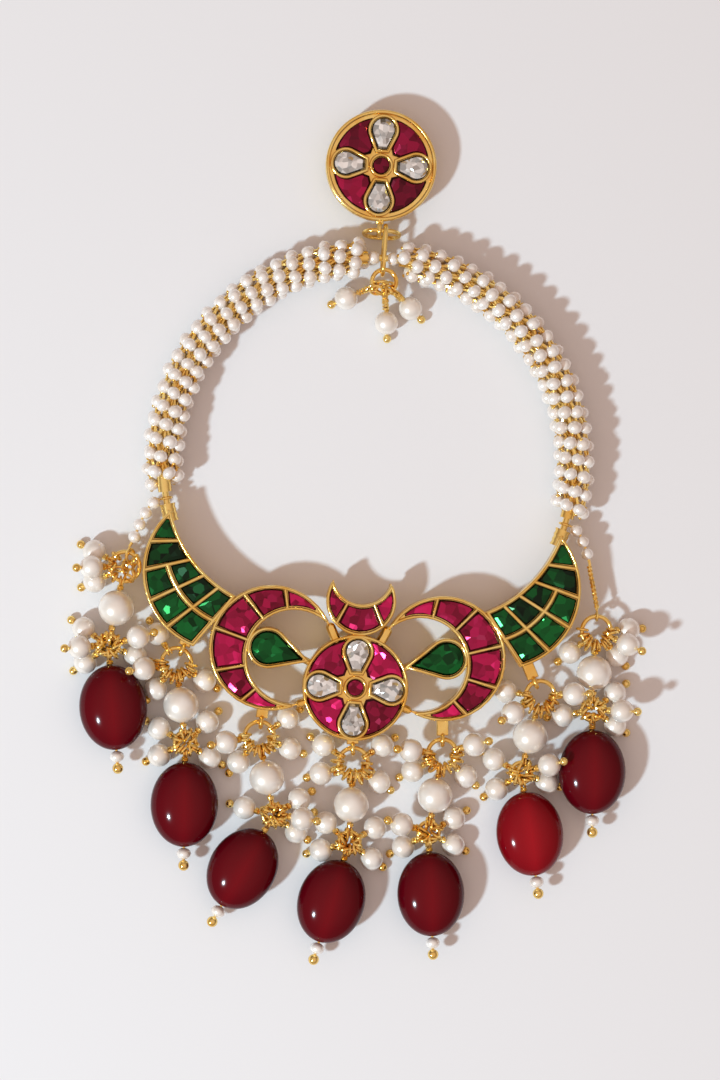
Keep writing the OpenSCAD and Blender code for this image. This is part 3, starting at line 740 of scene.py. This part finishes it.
def crescent_tip(field, side):
    """A tip of a crescent, where its two circles cross."""
    apart = np.array(field.outer) - np.array(field.inner)
    n = np.linalg.norm(apart)
    a = (field.inner_r ** 2 - field.outer_r ** 2 + n * n) / (2 * n)
    b = side * math.sqrt(field.inner_r ** 2 - a * a)
    return np.array(field.inner) + (a * apart + b * np.array([-apart[1], apart[0]])) / n


def solder(at, width):
    """The outline of the solder from the flower's rim to a point, with round ends."""
    way = unit(at)
    lean = angle_of(way)
    outline = []
    for centre, turn in ((way * (FLOWER_R - SOLDER_LAP), 180), (at, 0)):
        outline += [centre + width / 2 * direction(lean + turn - 90 + 15 * k) for k in range(13)]
    return outline


def set_flower(shape, r, rim_r, rim_half, low, top, origin):
    """The rim and the bezels of a flower of four petals round a red stone."""
    shape.rib(moved(circle(rim_r, RIM_STEPS), origin), rim_half, low, top, closed=True)
    for outline in petals(r) + [circle(EYE_R)]:
        line = grown(outline, BEZEL_AT)
        shape.rib(moved(line, origin), WALL_HALF, low, top + BEZEL_RISE, closed=True)


def add_bail(shape, at, lean, tab, origin):
    """A folded tab under the plaque and the ring soldered to it."""
    way, side = hang(lean), direction(lean)
    at = np.array(at) + origin
    start, end = at - way * TAB_LAP, at + way * (tab + TAB_PAST)
    wide = side * TAB_HALF
    shape.plate([start - wide, end - wide, end + wide, start + wide], TAB)
    shape.ring(flat(at + way * (tab + BAIL_R), BAIL_Z), flat(side), BAIL_R, RING_WIRE_R,
               *BAIL_MESH)


def hoop_point(angle, out=0, turn=0):
    """A point near the hoop's wire: out from its middle, turned about it."""
    way = direction(angle)
    r = HOOP_R + out * math.cos(turn)
    return np.array([LIE_SHIFT + way[0] * r, HOOP_Y + way[1] * r, AXIS_Z + out * math.sin(turn)])


def hoop_path(low, high, steps):
    return [hoop_point(low + (high - low) * k / steps) for k in range(steps + 1)]


def add_socket(shape, low, high):
    """The banded tube on the horn's tip that holds an end of the hoop."""
    path = hoop_path(low, high, SOCKET_STEPS)
    shape.tube(path, SOCKET_R, SOCKET_SIDES)
    half_band = unit(path[1] - path[0]) * BAND_HALF
    for at in path[::2]:
        shape.tube([at - half_band, at + half_band], SOCKET_R + BAND_RISE, SOCKET_SIDES)


def make_plaque():
    shape = Shape()
    sides = ((lambda o: moved(o, PLAQUE_AT)), (lambda o: moved(mirrored(o), PLAQUE_AT)))
    tips = (crescent_tip(CURL, 1), crescent_tip(CURL, -1), PEAR[-1])
    half_wall = math.degrees(WALL_HALF / HORN_FOOT_REACH)
    for turn in sides:
        set_field(shape, turn, HORN, (HORN_TIP - HORN_PLATE_CUT, HORN_FOOT),
                  (HORN_TIP - HORN_RIM_CUT, HORN_FOOT + half_wall), HORN_WALLS[1:-1])
        middle = edge_points(HORN, HORN_FOOT, HORN_WALLS[2], 0.5, 0, 2 * ARC_STEPS)
        shape.rib(turn(middle), HORN.wall / 2, WALL_LOW, CROSS_TOP)
        set_crescent(shape, turn, CURL, -180, 180, CURL_WALLS[1:-1])
        shape.plate(turn(grown(PEAR, STONE_GAP + 2 * WALL_HALF)), PLATE)
        shape.rib(turn(grown(PEAR, STONE_GAP + WALL_HALF)), WALL_HALF, WALL_LOW,
                  WALL_TOP + PEAR_RISE, closed=True)
        for at, width in zip(tips, SOLDER_WIDTHS):
            shape.plate(turn(solder(at, width)), LUMP)
    set_crescent(shape, sides[0], CROWN, -180, 0, CROWN_WALLS[1:-1])
    shape.plate(moved(circle(FLOWER_R, RIM_STEPS), PLAQUE_AT), PLATE)
    set_flower(shape, FLOWER_R, FLOWER_R - WALL_HALF, WALL_HALF, WALL_LOW, WALL_TOP, PLAQUE_AT)
    for at, drop in list(zip(ANCHORS, DROPS))[1:-1]:
        add_bail(shape, at, drop.lean, drop.tab, PLAQUE_AT)
    for low, high in ((-SOCKET_END, -SOCKET_FROM), (180 + SOCKET_FROM, 180 + SOCKET_END)):
        add_socket(shape, low, high)
    shape.make("plaque_setting", GOLD, "gold", ["chand_frame"])


def make_stud():
    shape = Shape()
    shape.plate(circle(STUD_DISC_R, STUD_DISC_STEPS), STUD_DISC)
    set_flower(shape, STUD_R, STUD_DISC_R - STUD_RIM_HALF, STUD_RIM_HALF,
               WALL_LOW + (STUD_TOP - PLAQUE_TOP), STUD_TOP + STUD_RISE, STUD_AT)
    shape.plate(moved(STUD_TAB_OUTLINE, STUD_BAIL), STUD_TAB)
    shape.ring(flat(STUD_BAIL, STUD_BAIL_Z), (1, 0, 0), BAIL_R, RING_WIRE_R, *BAIL_MESH)
    shape.make("stud_disc", GOLD, "gold", ["stud_setting"])


# The double loop at a pin's end, and the wire wound round its neck
LOOP_WIRE = 0.17
LOOP_APART = 0.19
LOOP_SWAY = 0.2
NECK_COIL_R = 0.34
NECK_TURNS = 2.5
EXTRA_TURNS = 3
# Loops of wire that crowd a ring: [turns, from, to], and the lean in a fan or a knot
FAN_WIRE = 0.2
TANGLE = (11, 0, 360)
TOP_TANGLE = (7, -80, 80)
TANGLE_PLAY = 0.3
TANGLE_OUT = (0.75, 1.0)
TANGLE_IN = (0.1, 0.4)
TANGLE_LIFT = (0.0, 0.7)
TANGLE_TURN = 60
TANGLE_TILT = 0.9
TANGLE_R = (0.6, 0.85)
FAN = (10, -100, 100, 12)
KNOT = (9, -180, 180, 45)
KNOT_SHARE = 0.75
FAN_PLAY = 0.2
FAN_OUT = (0.9, 1.1)
FAN_LIFT = (0.1, 0.4)
FAN_TILT = 0.25
FAN_R = (0.72, 0.98)
FIRST_FANNED = 1

# Drops, as in the CAD. A pin is (angle, share of the steepest dip)
Drop = namedtuple("Drop", "lean tab pearl_lean bead_lean uppers lowers")
DROPS = (
    Drop(-9, 0, -8, 8, ((-112, 1), (-86, -1.2), (-60, 1)),
         ((70, 1), (110, -0.6), (-49, 1), (-119, 1), (-84, -1.2))),
    Drop(-20, 0.2, 10, 3, ((-78, -1.2), (-143, 1), (-34, 1), (60, 1)),
         ((135, 1), (60, 1), (-113, 1), (-58, 1))),
    Drop(-3, 0.9, 14, -26, ((-78, -1), (-34, 1), (70, 1), (125, 1)),
         ((122, 1), (55, 1), (88, -1.2), (-98, 1))),
    Drop(6, 0.3, 1, -13, ((-116, 1), (122, 1), (-66, 1), (56, 1)),
         ((-125, 1), (-68, 1), (120, 1), (55, 1))),
    Drop(4, 1.8, -6, 6, ((-55, 1), (-95, -1.2), (50, 1), (112, -1.2)),
         ((-105, -1), (120, 1), (65, 1), (-54, 1))),
    Drop(27, 1.9, -10, 12, ((-92, 1), (-57, -1.2), (98, -1.2)),
         ((-112, 1), (-50, 1), (112, -1.2), (72, 1))),
    Drop(3, 0, 1, 4, ((95, 1), (45, 1), (70, -1.2), (-45, 1)),
         ((-75, 1), (60, 1), (94, -1.2), (128, 1))),
)
# The pins under the hoop: (angle, how much longer they are, share of the steepest dip)
TOP_PINS = ((-63, 1.2, 0.75), (8, 1.2, 0.75), (50, 0.8, 0.8))
LEFT_END = np.array([31.9, 16.3])
RIGHT_END = np.array([32.5, 11.7])
CORNER_ANGLE = -51
HORN_CORNER = from_pole(HORN, CORNER_ANGLE, outer_reach(HORN, CORNER_ANGLE))
CURL_BOTTOM = np.array(CURL_C) + CURL.outer_r * direction(-86)
FLIP = np.array([-1, 1])
ANCHORS = (LEFT_END * FLIP, HORN_CORNER * FLIP, CURL_BOTTOM * FLIP, np.array([0.2, -FLOWER_R]),
           CURL_BOTTOM, HORN_CORNER, RIGHT_END)
BAIL_PLAY = 0.05
# How far from a pin's start its pearls, bead and ball lie
BALL_SINK = 0.03
HALF_BRIDGE = NECK_FROM + NECK_L + BORE_GAP + LARGE_R
SMALL_REACH = NECK_FROM + NECK_L + BORE_GAP + SMALL_R
BALL_REACH = SMALL_REACH + SMALL_R + BORE_GAP + BALL_R - BALL_SINK
BEAD_REACH = NECK_FROM + NECK_L + BORE_GAP + BEAD[1]
SEED_HALF = 0.8
SEED_REACH = BEAD_REACH + BEAD[1] + BORE_GAP + SEED_HALF
END_REACH = SEED_REACH + SEED_HALF + BORE_GAP + BEAD_BALL_R - BALL_SINK
STEEPEST = min(math.degrees(math.asin((AXIS_Z - r - FLOOR_GAP) / far))
               for r, far in ((SMALL_R, SMALL_REACH), (BALL_R, BALL_REACH)))
PEARL_STRETCH = (0.97, 1.0)
PEARL_SIZE = (0.985, 1.0)
# A bead's painted light, lighter in its heart and in a lit band along its hole, with painted
# shade towards its edge: the shares of heart and band, and the band's width and fading
GLOW_HEART_SHARE = 0.68
LIT_BAND_SHARE = 0.32
LIT_BAND_WIDTH = 0.2
LIT_BAND_FADE = 0.3


def within(amount):
    return random.uniform(-amount, amount)


def pin_way(centre, r, angle, dip=0.0):
    """Where a pin leaves its ring, the way that it runs, and the ring's tangent there."""
    slope = math.radians(dip * STEEPEST)
    out = hang(angle)
    start = np.array(centre) + flat(out * r)
    return start, flat(out * math.cos(slope), -math.sin(slope)), flat(direction(angle))


def pin_eye(shape, start, way, tangent):
    """The double loop at a pin's end, with its wire wrapped round the neck."""
    for offset in (-LOOP_APART, LOOP_APART):
        lean = unit(tangent + way * within(LOOP_SWAY))
        shape.ring(start + tangent * offset, lean, LOOP_R, LOOP_WIRE, *LOOP_MESH)
    shape.coil(start + way * NECK_FROM, way, NECK_L, NECK_COIL_R, LOOP_WIRE, NECK_TURNS)


def tangle(shape, centre, r, turns, low, high):
    """Loops of wire that lie every way on a ring, each third one near its middle."""
    for k in range(turns):
        angle = low + (high - low) * (k + within(TANGLE_PLAY)) / turns
        out = r * random.uniform(*(TANGLE_OUT if k % 3 else TANGLE_IN))
        at = centre + flat(hang(angle) * out, random.uniform(*TANGLE_LIFT))
        axis = flat(direction(angle + within(TANGLE_TURN)), within(TANGLE_TILT))
        shape.ring(at, axis, random.uniform(*TANGLE_R), FAN_WIRE, *LOOP_MESH)


def loop_fan(shape, centre, r, turns, low, high, lean):
    """Loops of wire side by side on a part of a ring, each leaning its own way."""
    for k in range(turns):
        angle = low + (high - low) * (k + 0.5 + within(FAN_PLAY)) / turns
        at = centre + flat(hang(angle) * r * random.uniform(*FAN_OUT), random.uniform(*FAN_LIFT))
        axis = flat(direction(angle + within(lean)), within(FAN_TILT))
        shape.ring(at, axis, random.uniform(*FAN_R), FAN_WIRE, *FAN_MESH)


def pin_with_ball(shape, start, way, tangent, reach_to, ball_r):
    pin_eye(shape, start, way, tangent)
    shape.tube([start + way * NECK_FROM, start + way * reach_to], PIN_R)
    shape.ball(start + way * reach_to, ball_r, *PIN_BALL, way)


def drop_places(i):
    """The middles of a drop's upper and lower ring."""
    drop = DROPS[i]
    ring_drop = UPPER_R
    if 0 < i < len(DROPS) - 1:
        ring_drop += drop.tab + BAIL_R + BAIL_PLAY
    upper = ANCHORS[i] + ring_drop * hang(drop.lean)
    lower = upper + (UPPER_R + LOWER_R + 2 * HALF_BRIDGE) * hang(drop.pearl_lean)
    return flat(upper + PLAQUE_AT, AXIS_Z), flat(lower + PLAQUE_AT, AXIS_Z)


def make_pearl(shape, centre, r, way):
    """A pearl, a little off round."""
    stretch = random.uniform(*PEARL_STRETCH)
    shape.ball(centre, r * random.uniform(*PEARL_SIZE), *FINE_BALL, way, stretch)


def make_bead(name, centre, way, node, material):
    """An oval bead with painted shade towards its edge, and a painted glow in its heart and in a
    band along the hole.
    """
    side = np.cross(way, (0, 0, 1))
    shape = Shape()
    points, painted_glows = [], []
    sides, rows = BEAD_GRID
    for row in range(rows + 1):
        tilt = math.pi * row / rows
        for k in range(sides):
            turn = 2 * math.pi * k / sides
            x, y, z = (math.sin(tilt) * math.cos(turn), math.cos(tilt),
                       math.sin(tilt) * math.sin(turn))
            points.append(np.array(centre) + side * x * BEAD[0] - way * y * BEAD[1]
                          + np.array([0, 0, z * BEAD[2]]))
            # Painted glow: lightest where the bead is thickest, and along a lit band over the
            # hole
            lit_heart = max(0.0, 1 - (x * x + y * y)) ** 0.5
            lit_band = math.exp(-(x / LIT_BAND_WIDTH) ** 2)
            painted_glows.append(GLOW_HEART_SHARE * lit_heart + LIT_BAND_SHARE * lit_band * lit_heart ** LIT_BAND_FADE)
    shape.add(points, bands(rows + 1, sides))
    piece = shape.make(name, material, "red_bead", [node])
    attribute = piece.data.attributes.new("painted_glow", "FLOAT", "POINT")
    attribute.data.foreach_set("value", painted_glows)


def make_drop(i):
    name = "drop_%d" % (i + 1)
    drop = DROPS[i]
    upper, lower = drop_places(i)
    pins, pearls, large = Shape(), Shape(), Shape()
    for centre, r, table in ((upper, UPPER_R, drop.uppers), (lower, LOWER_R, drop.lowers)):
        if centre is lower:
            loop_fan(pins, centre, r * KNOT_SHARE, *KNOT)
        elif i >= FIRST_FANNED:
            loop_fan(pins, centre, r, *FAN)
        else:
            tangle(pins, centre, r, *TANGLE)
        for angle, dip in table:
            start, way, tangent = pin_way(centre, r, angle, dip)
            pin_with_ball(pins, start, way, tangent, BALL_REACH, BALL_R)
            make_pearl(pearls, start + way * SMALL_REACH, SMALL_R, way)
    start, way, tangent = pin_way(upper, UPPER_R, drop.pearl_lean)
    far = start + way * 2 * HALF_BRIDGE
    pin_eye(pins, start, way, tangent)
    pin_eye(pins, far, -way, tangent)
    pins.tube([start + way * NECK_FROM, far - way * NECK_FROM], PIN_R)
    make_pearl(large, start + way * HALF_BRIDGE, LARGE_R, way)
    start, way, tangent = pin_way(lower, LOWER_R, drop.bead_lean)
    pin_with_ball(pins, start, way, tangent, END_REACH, BEAD_BALL_R)
    make_bead(name + "_oval_bead", start + way * BEAD_REACH, way, name + "_bead",
              BRIGHT_RED if i == BRIGHT_BEAD else RED)
    end_seed = Shape()
    end_seed.ball(start + way * SEED_REACH, SEED_R, *SEED_BALL, way, SEED_HALF / SEED_R)
    end_seed.make(name + "_end_seed", SEED, "pearl")
    pins.make(name + "_wrapped_pins", GOLD, "gold", [name + "_pins"])
    pearls.make(name + "_small_pearls", PEARL, "pearl", [name + "_pearls"])
    large.make(name + "_pearl", PEARL, "pearl", [name + "_large_pearl"])


def make_top_cluster():
    pins, pearls = Shape(), Shape()
    tangle(pins, np.array(TOP_RING), TOP_RING_R, *TOP_TANGLE)
    for angle, extra, dip in TOP_PINS:
        start, way, tangent = pin_way(TOP_RING, TOP_RING_R, angle, dip)
        pin_with_ball(pins, start, way, tangent, BALL_REACH + extra, BALL_R)
        make_pearl(pearls, start + way * (SMALL_REACH + extra), SMALL_R, way)
        pins.coil(start + way * (NECK_FROM + NECK_L), way, extra, NECK_COIL_R, LOOP_WIRE,
                  EXTRA_TURNS)
    pins.make("top_wrapped_pins", GOLD, "gold", ["top_pins"])
    pearls.make("top_small_pearls", PEARL, "pearl", ["top_pearls"])


# The hoop's sleeve: seeds in a helix round the core wire, with gold wire between them
SEEDS_A_TURN = 6.5
SEED_PITCH = 2.2
SEED_RING_R = 1.97
# How far a seed strays about the wire and outwards, leans, tilts and differs in size
SEED_STRAY = 0.07
SEED_OUT = (-0.08, 0.02)
SEED_LEAN = 0.7
SEED_TILT = (-0.1, 0.5)
SEED_SIZE = (0.94, 1.02)
SEED_STRETCH = (0.86, 0.95)
# Each seed is wired to the seeds so many places on, and down to the core
WIRED_TO = (6, 7)
SLEEVE_WIRE = 0.2
WIRE_SIDES = 5
WIRE_DEPTH = 0.9
HOLE_KNOT_R = 0.3
HOLE_KNOT_SINK = 0.12
SLEEVE_R = 0.95
SLEEVE_PLAY = 1.0
SLEEVE_STEPS = 60
SLEEVE_SIDES = 10
# A seed on each side of the hoop's link, with its size and stretch
BESIDE_LINK = 1.3
LINK_SEED_R = SEED_R * 0.93
LINK_SEED_STRETCH = 0.9


def clear_of_links(point):
    near_ring = math.hypot(point[0] - TOP_RING[0], point[1] - TOP_RING[1])
    near_link = abs(point[0] - LINK_X)
    return (near_ring > TOP_RING_R + RING_WIRE_R + RING_WIRE_ROOM + SEED_R
            and near_link > LINK_ROOM)


def make_weave():
    seeds, wires = Shape(), Shape()
    turns = math.radians(180 + 2 * WEAVE_END) * HOOP_R / SEED_PITCH
    count = int(turns * SEEDS_A_TURN)
    margin = math.degrees(SEED_R / HOOP_R)
    places = []
    for i in range(count):
        share = (i + 0.5) / count
        angle = -WEAVE_END + margin + (180 + 2 * (WEAVE_END - margin)) * share
        turn = 2 * math.pi * i / SEEDS_A_TURN + within(SEED_STRAY)
        out = SEED_RING_R + random.uniform(*SEED_OUT)
        places.append((hoop_point(angle, out, turn), angle, turn))
    for i, (point, angle, turn) in enumerate(places):
        if not clear_of_links(point):
            continue
        tangent = flat(direction(angle + 90))
        outward = unit(point - hoop_point(angle))
        lean = within(SEED_LEAN)
        axis = unit(tangent * math.cos(lean) + np.cross(tangent, outward) * math.sin(lean)
                    + outward * random.uniform(*SEED_TILT))
        radius = SEED_R * random.uniform(*SEED_SIZE)
        stretch = random.uniform(*SEED_STRETCH)
        seeds.ball(point, radius, *SEED_BALL, axis, stretch)
        for end in (-1, 1):
            wires.ball(point + axis * end * (radius * stretch - HOLE_KNOT_SINK), HOLE_KNOT_R,
                       *KNOT_BALL, axis)
        for other in (i + step for step in WIRED_TO):
            if other < count and clear_of_links(places[other][0]):
                wires.tube([point, places[other][0]], SLEEVE_WIRE, WIRE_SIDES)
        wires.tube([hoop_point(angle, WIRE_DEPTH, turn), point], SLEEVE_WIRE, WIRE_SIDES)
    for x in (LINK_X - BESIDE_LINK, LINK_X + BESIDE_LINK):
        angle = math.degrees(math.acos((x - LIE_SHIFT) / HOOP_R))
        seeds.ball(hoop_point(angle), LINK_SEED_R, *SEED_BALL, flat(direction(angle + 90)),
                   LINK_SEED_STRETCH)
    seeds.make("hoop_seed_pearls", SEED, "pearl", ["hoop_weave"])
    gap = math.degrees((WEAVE_GAP / 2 + SLEEVE_PLAY) / HOOP_R)
    for low, high in ((-WEAVE_END, 90 - gap), (90 + gap, 180 + WEAVE_END)):
        wires.tube(hoop_path(low, high, SLEEVE_STEPS), SLEEVE_R, SLEEVE_SIDES)
    wires.make("hoop_weave_wire", GOLD, "gold")


# The strings from the hoop's ends down to the outer drops, drawn at the right
STRING_ANGLE = -13.3
STRING_TOP = np.array([0, PLAQUE_DROP]) + HOOP_R * direction(STRING_ANGLE)
STRING_SEEDS = ((29.3, 22.9), (30.3, 20.9), (31.0, 18.9))
LEFT_TAIL = ((31.5, 17.6),)
RIGHT_TAIL = ((31.3, 17.2), (31.9, 15.0), (32.4, 13.0))
STRING_SEED_R = 0.88
STRING_GAP = 0.04
STRING_STRETCH = 0.95
STRING_WIRE = 0.2
# Two wires twisted about each other, from this point on
TWIST_FROM = (31.0, 18.4)
TWIST_PITCH = 1.1
TWIST_R = 0.2
TWIST_WIRE = 0.18
TWIST_STEP = 0.15


def along(points, spacing):
    """Points at even spacing along a line of points."""
    points = [np.array(p, float) for p in points]
    found = []
    left = spacing / 2
    for a, b in zip(points, points[1:]):
        length = np.linalg.norm(b - a)
        while left < length:
            found.append(a + (b - a) * left / length)
            left += spacing
        left -= length
    return found


def twisted_strand(line, flip, start_turn):
    """One of the two twisted wires along a line of points."""
    strand = []
    run = 0.0
    for a, b in zip(line, line[1:]):
        way = unit(b - a)
        side = np.array([-way[1], way[0]])
        steps = max(2, int(np.linalg.norm(b - a) / TWIST_STEP))
        for k in range(steps):
            turn = start_turn + run * 2 * math.pi / TWIST_PITCH
            at = a + (b - a) * k / steps
            strand.append(flat(at * flip + side * TWIST_R * math.cos(turn) + PLAQUE_AT,
                               AXIS_Z + TWIST_R * math.sin(turn)))
            run += np.linalg.norm(b - a) / steps
    return strand


def make_side_string(name, flip, tail, end, lean, twisted):
    """Seeds on a wire with a loop at each end. If twisted, its last part is bare."""
    def laid(point):
        return flat(point * flip + PLAQUE_AT, AXIS_Z)

    seeds, wire = Shape(), Shape()
    top = STRING_TOP + (CORE_R + BORE_GAP + 2 * PIN_R) * direction(STRING_ANGLE)
    bottom = end - (RING_WIRE_R + BORE_GAP + 2 * PIN_R) * hang(lean)
    strung = [top, *STRING_SEEDS] + ([] if twisted else [*tail, bottom])
    for p in along(strung, 2 * STRING_SEED_R + STRING_GAP):
        seeds.ball(laid(p), STRING_SEED_R, *SEED_BALL, (0, 1, 0), STRING_STRETCH)
    wire.tube([laid(np.array(p)) for p in (top, *STRING_SEEDS, *tail, bottom)], STRING_WIRE)
    if twisted:
        seen = [np.array(p, float) for p in (TWIST_FROM, *tail, bottom)]
        for start_turn in (0, math.pi):
            wire.tube(twisted_strand(seen, flip, start_turn), TWIST_WIRE)
    wire.ring(laid(STRING_TOP), flat(direction(STRING_ANGLE + 90) * flip),
              CORE_R + BORE_GAP + PIN_R, PIN_R)
    wire.ring(laid(end), np.cross(flat(hang(lean) * flip), (0, 0, 1)),
              RING_WIRE_R + BORE_GAP + PIN_R, PIN_R)
    seeds.make(name + "_seeds", SEED, "pearl", [name])
    wire.make(name + "_wire", GOLD, "gold")


# Stage, light and camera
PHOTO_TURN = 3.75
LENS = 100.0
SENSOR = 36.0
FRAME_HEIGHT = 0.147
AIM = (0.0006, -0.0508, 0.003)
CAMERA_ASIDE = (-0.06, 0.037)
FLOOR_HALF = 1.5
KEY_WAY = (-0.86, -0.64, 1.0)
KEY_DISTANCE = 0.9
KEY_SIZE = 0.07
KEY_POWER = 6.9
KEY_COLOUR = (0.68, 0.89, 1.0)
# Warm light all round that grows overhead: [height, colour]
STUDIO_LIGHT = ((0.0, (0.36, 0.28, 0.245)), (0.5, (0.51, 0.40, 0.35)), (0.8, (0.83, 0.65, 0.57)),
                (1.0, (0.94, 0.74, 0.65)))
STUDIO_STRENGTH = 0.82


def make_floor():
    mesh = bpy.data.meshes.new("floor")
    mesh.from_pydata([(x * FLOOR_HALF, y * FLOOR_HALF, 0)
                      for x, y in ((-1, -1), (1, -1), (1, 1), (-1, 1))], [], [(0, 1, 2, 3)])
    floor = bpy.data.objects.new("floor", mesh)
    mesh.materials.append(new_material("floor", Roughness=0.9, Base_Color=FLOOR_COLOUR)[0])
    bpy.context.scene.collection.objects.link(floor)


def make_key_light():
    data = bpy.data.lights.new("key", "AREA")
    data.shape = "DISK"
    data.size = KEY_SIZE
    data.energy = KEY_POWER
    data.color = KEY_COLOUR
    light = bpy.data.objects.new("key", data)
    way = Vector(KEY_WAY).normalized()
    light.location = Vector(AIM) + way * KEY_DISTANCE
    light.rotation_mode = "QUATERNION"
    light.rotation_quaternion = way.to_track_quat("Z", "Y")
    bpy.context.scene.collection.objects.link(light)


def make_studio():
    world = bpy.data.worlds.new("studio")
    world.use_nodes = True
    tree = world.node_tree
    way = tree.nodes.new("ShaderNodeTexCoord")
    parts = new_node(tree, "SeparateXYZ", {"Vector": way.outputs["Generated"]})
    ramp = new_node(tree, "ValToRGB", {"Fac": parts.outputs["Z"]})
    for i, (height, colour) in enumerate(STUDIO_LIGHT):
        stop = ramp.color_ramp.elements[i] if i < 2 else ramp.color_ramp.elements.new(height)
        stop.position = height
        stop.color = (*colour, 1)
    fill(tree, tree.nodes["Background"],
         {"Strength": STUDIO_STRENGTH, "Color": ramp.outputs["Color"]})
    bpy.context.scene.world = world
    bpy.context.scene.view_settings.view_transform = "Standard"


def make_camera():
    """The camera looks down from beside the earring, as the photograph's did."""
    data = bpy.data.cameras.new("camera")
    data.lens = LENS
    data.sensor_width = SENSOR
    camera = bpy.data.objects.new("camera", data)
    distance = FRAME_HEIGHT * LENS / SENSOR
    back = Vector((*CAMERA_ASIDE, 1)).normalized()
    up = back.cross(Vector((1, 0, 0))).normalized()
    look = Matrix((up.cross(back), up, back)).transposed().to_4x4()
    camera.matrix_world = (Matrix.Translation(AIM)
                           @ Matrix.Rotation(math.radians(PHOTO_TURN), 4, "Z")
                           @ Matrix.Translation(back * distance) @ look)
    bpy.context.scene.collection.objects.link(camera)
    bpy.context.scene.camera = camera


def dress_cad_nodes():
    """The CAD nodes that are shown as they are: links, rings, the core wire and the clip."""
    for node in NODES.values():
        if node.hide_render:
            continue
        node.data.materials.clear()
        node.data.materials.append(GOLD)


make_camera()
make_floor()
make_key_light()
make_studio()
make_stones()
make_plaque()
make_stud()
make_top_cluster()
for index in range(len(DROPS)):
    make_drop(index)
make_weave()
make_side_string("side_string_left", FLIP, LEFT_TAIL, LEFT_END, 9, False)
make_side_string("side_string_right", np.array([1, 1]), RIGHT_TAIL, RIGHT_END, 3, True)
dress_cad_nodes()
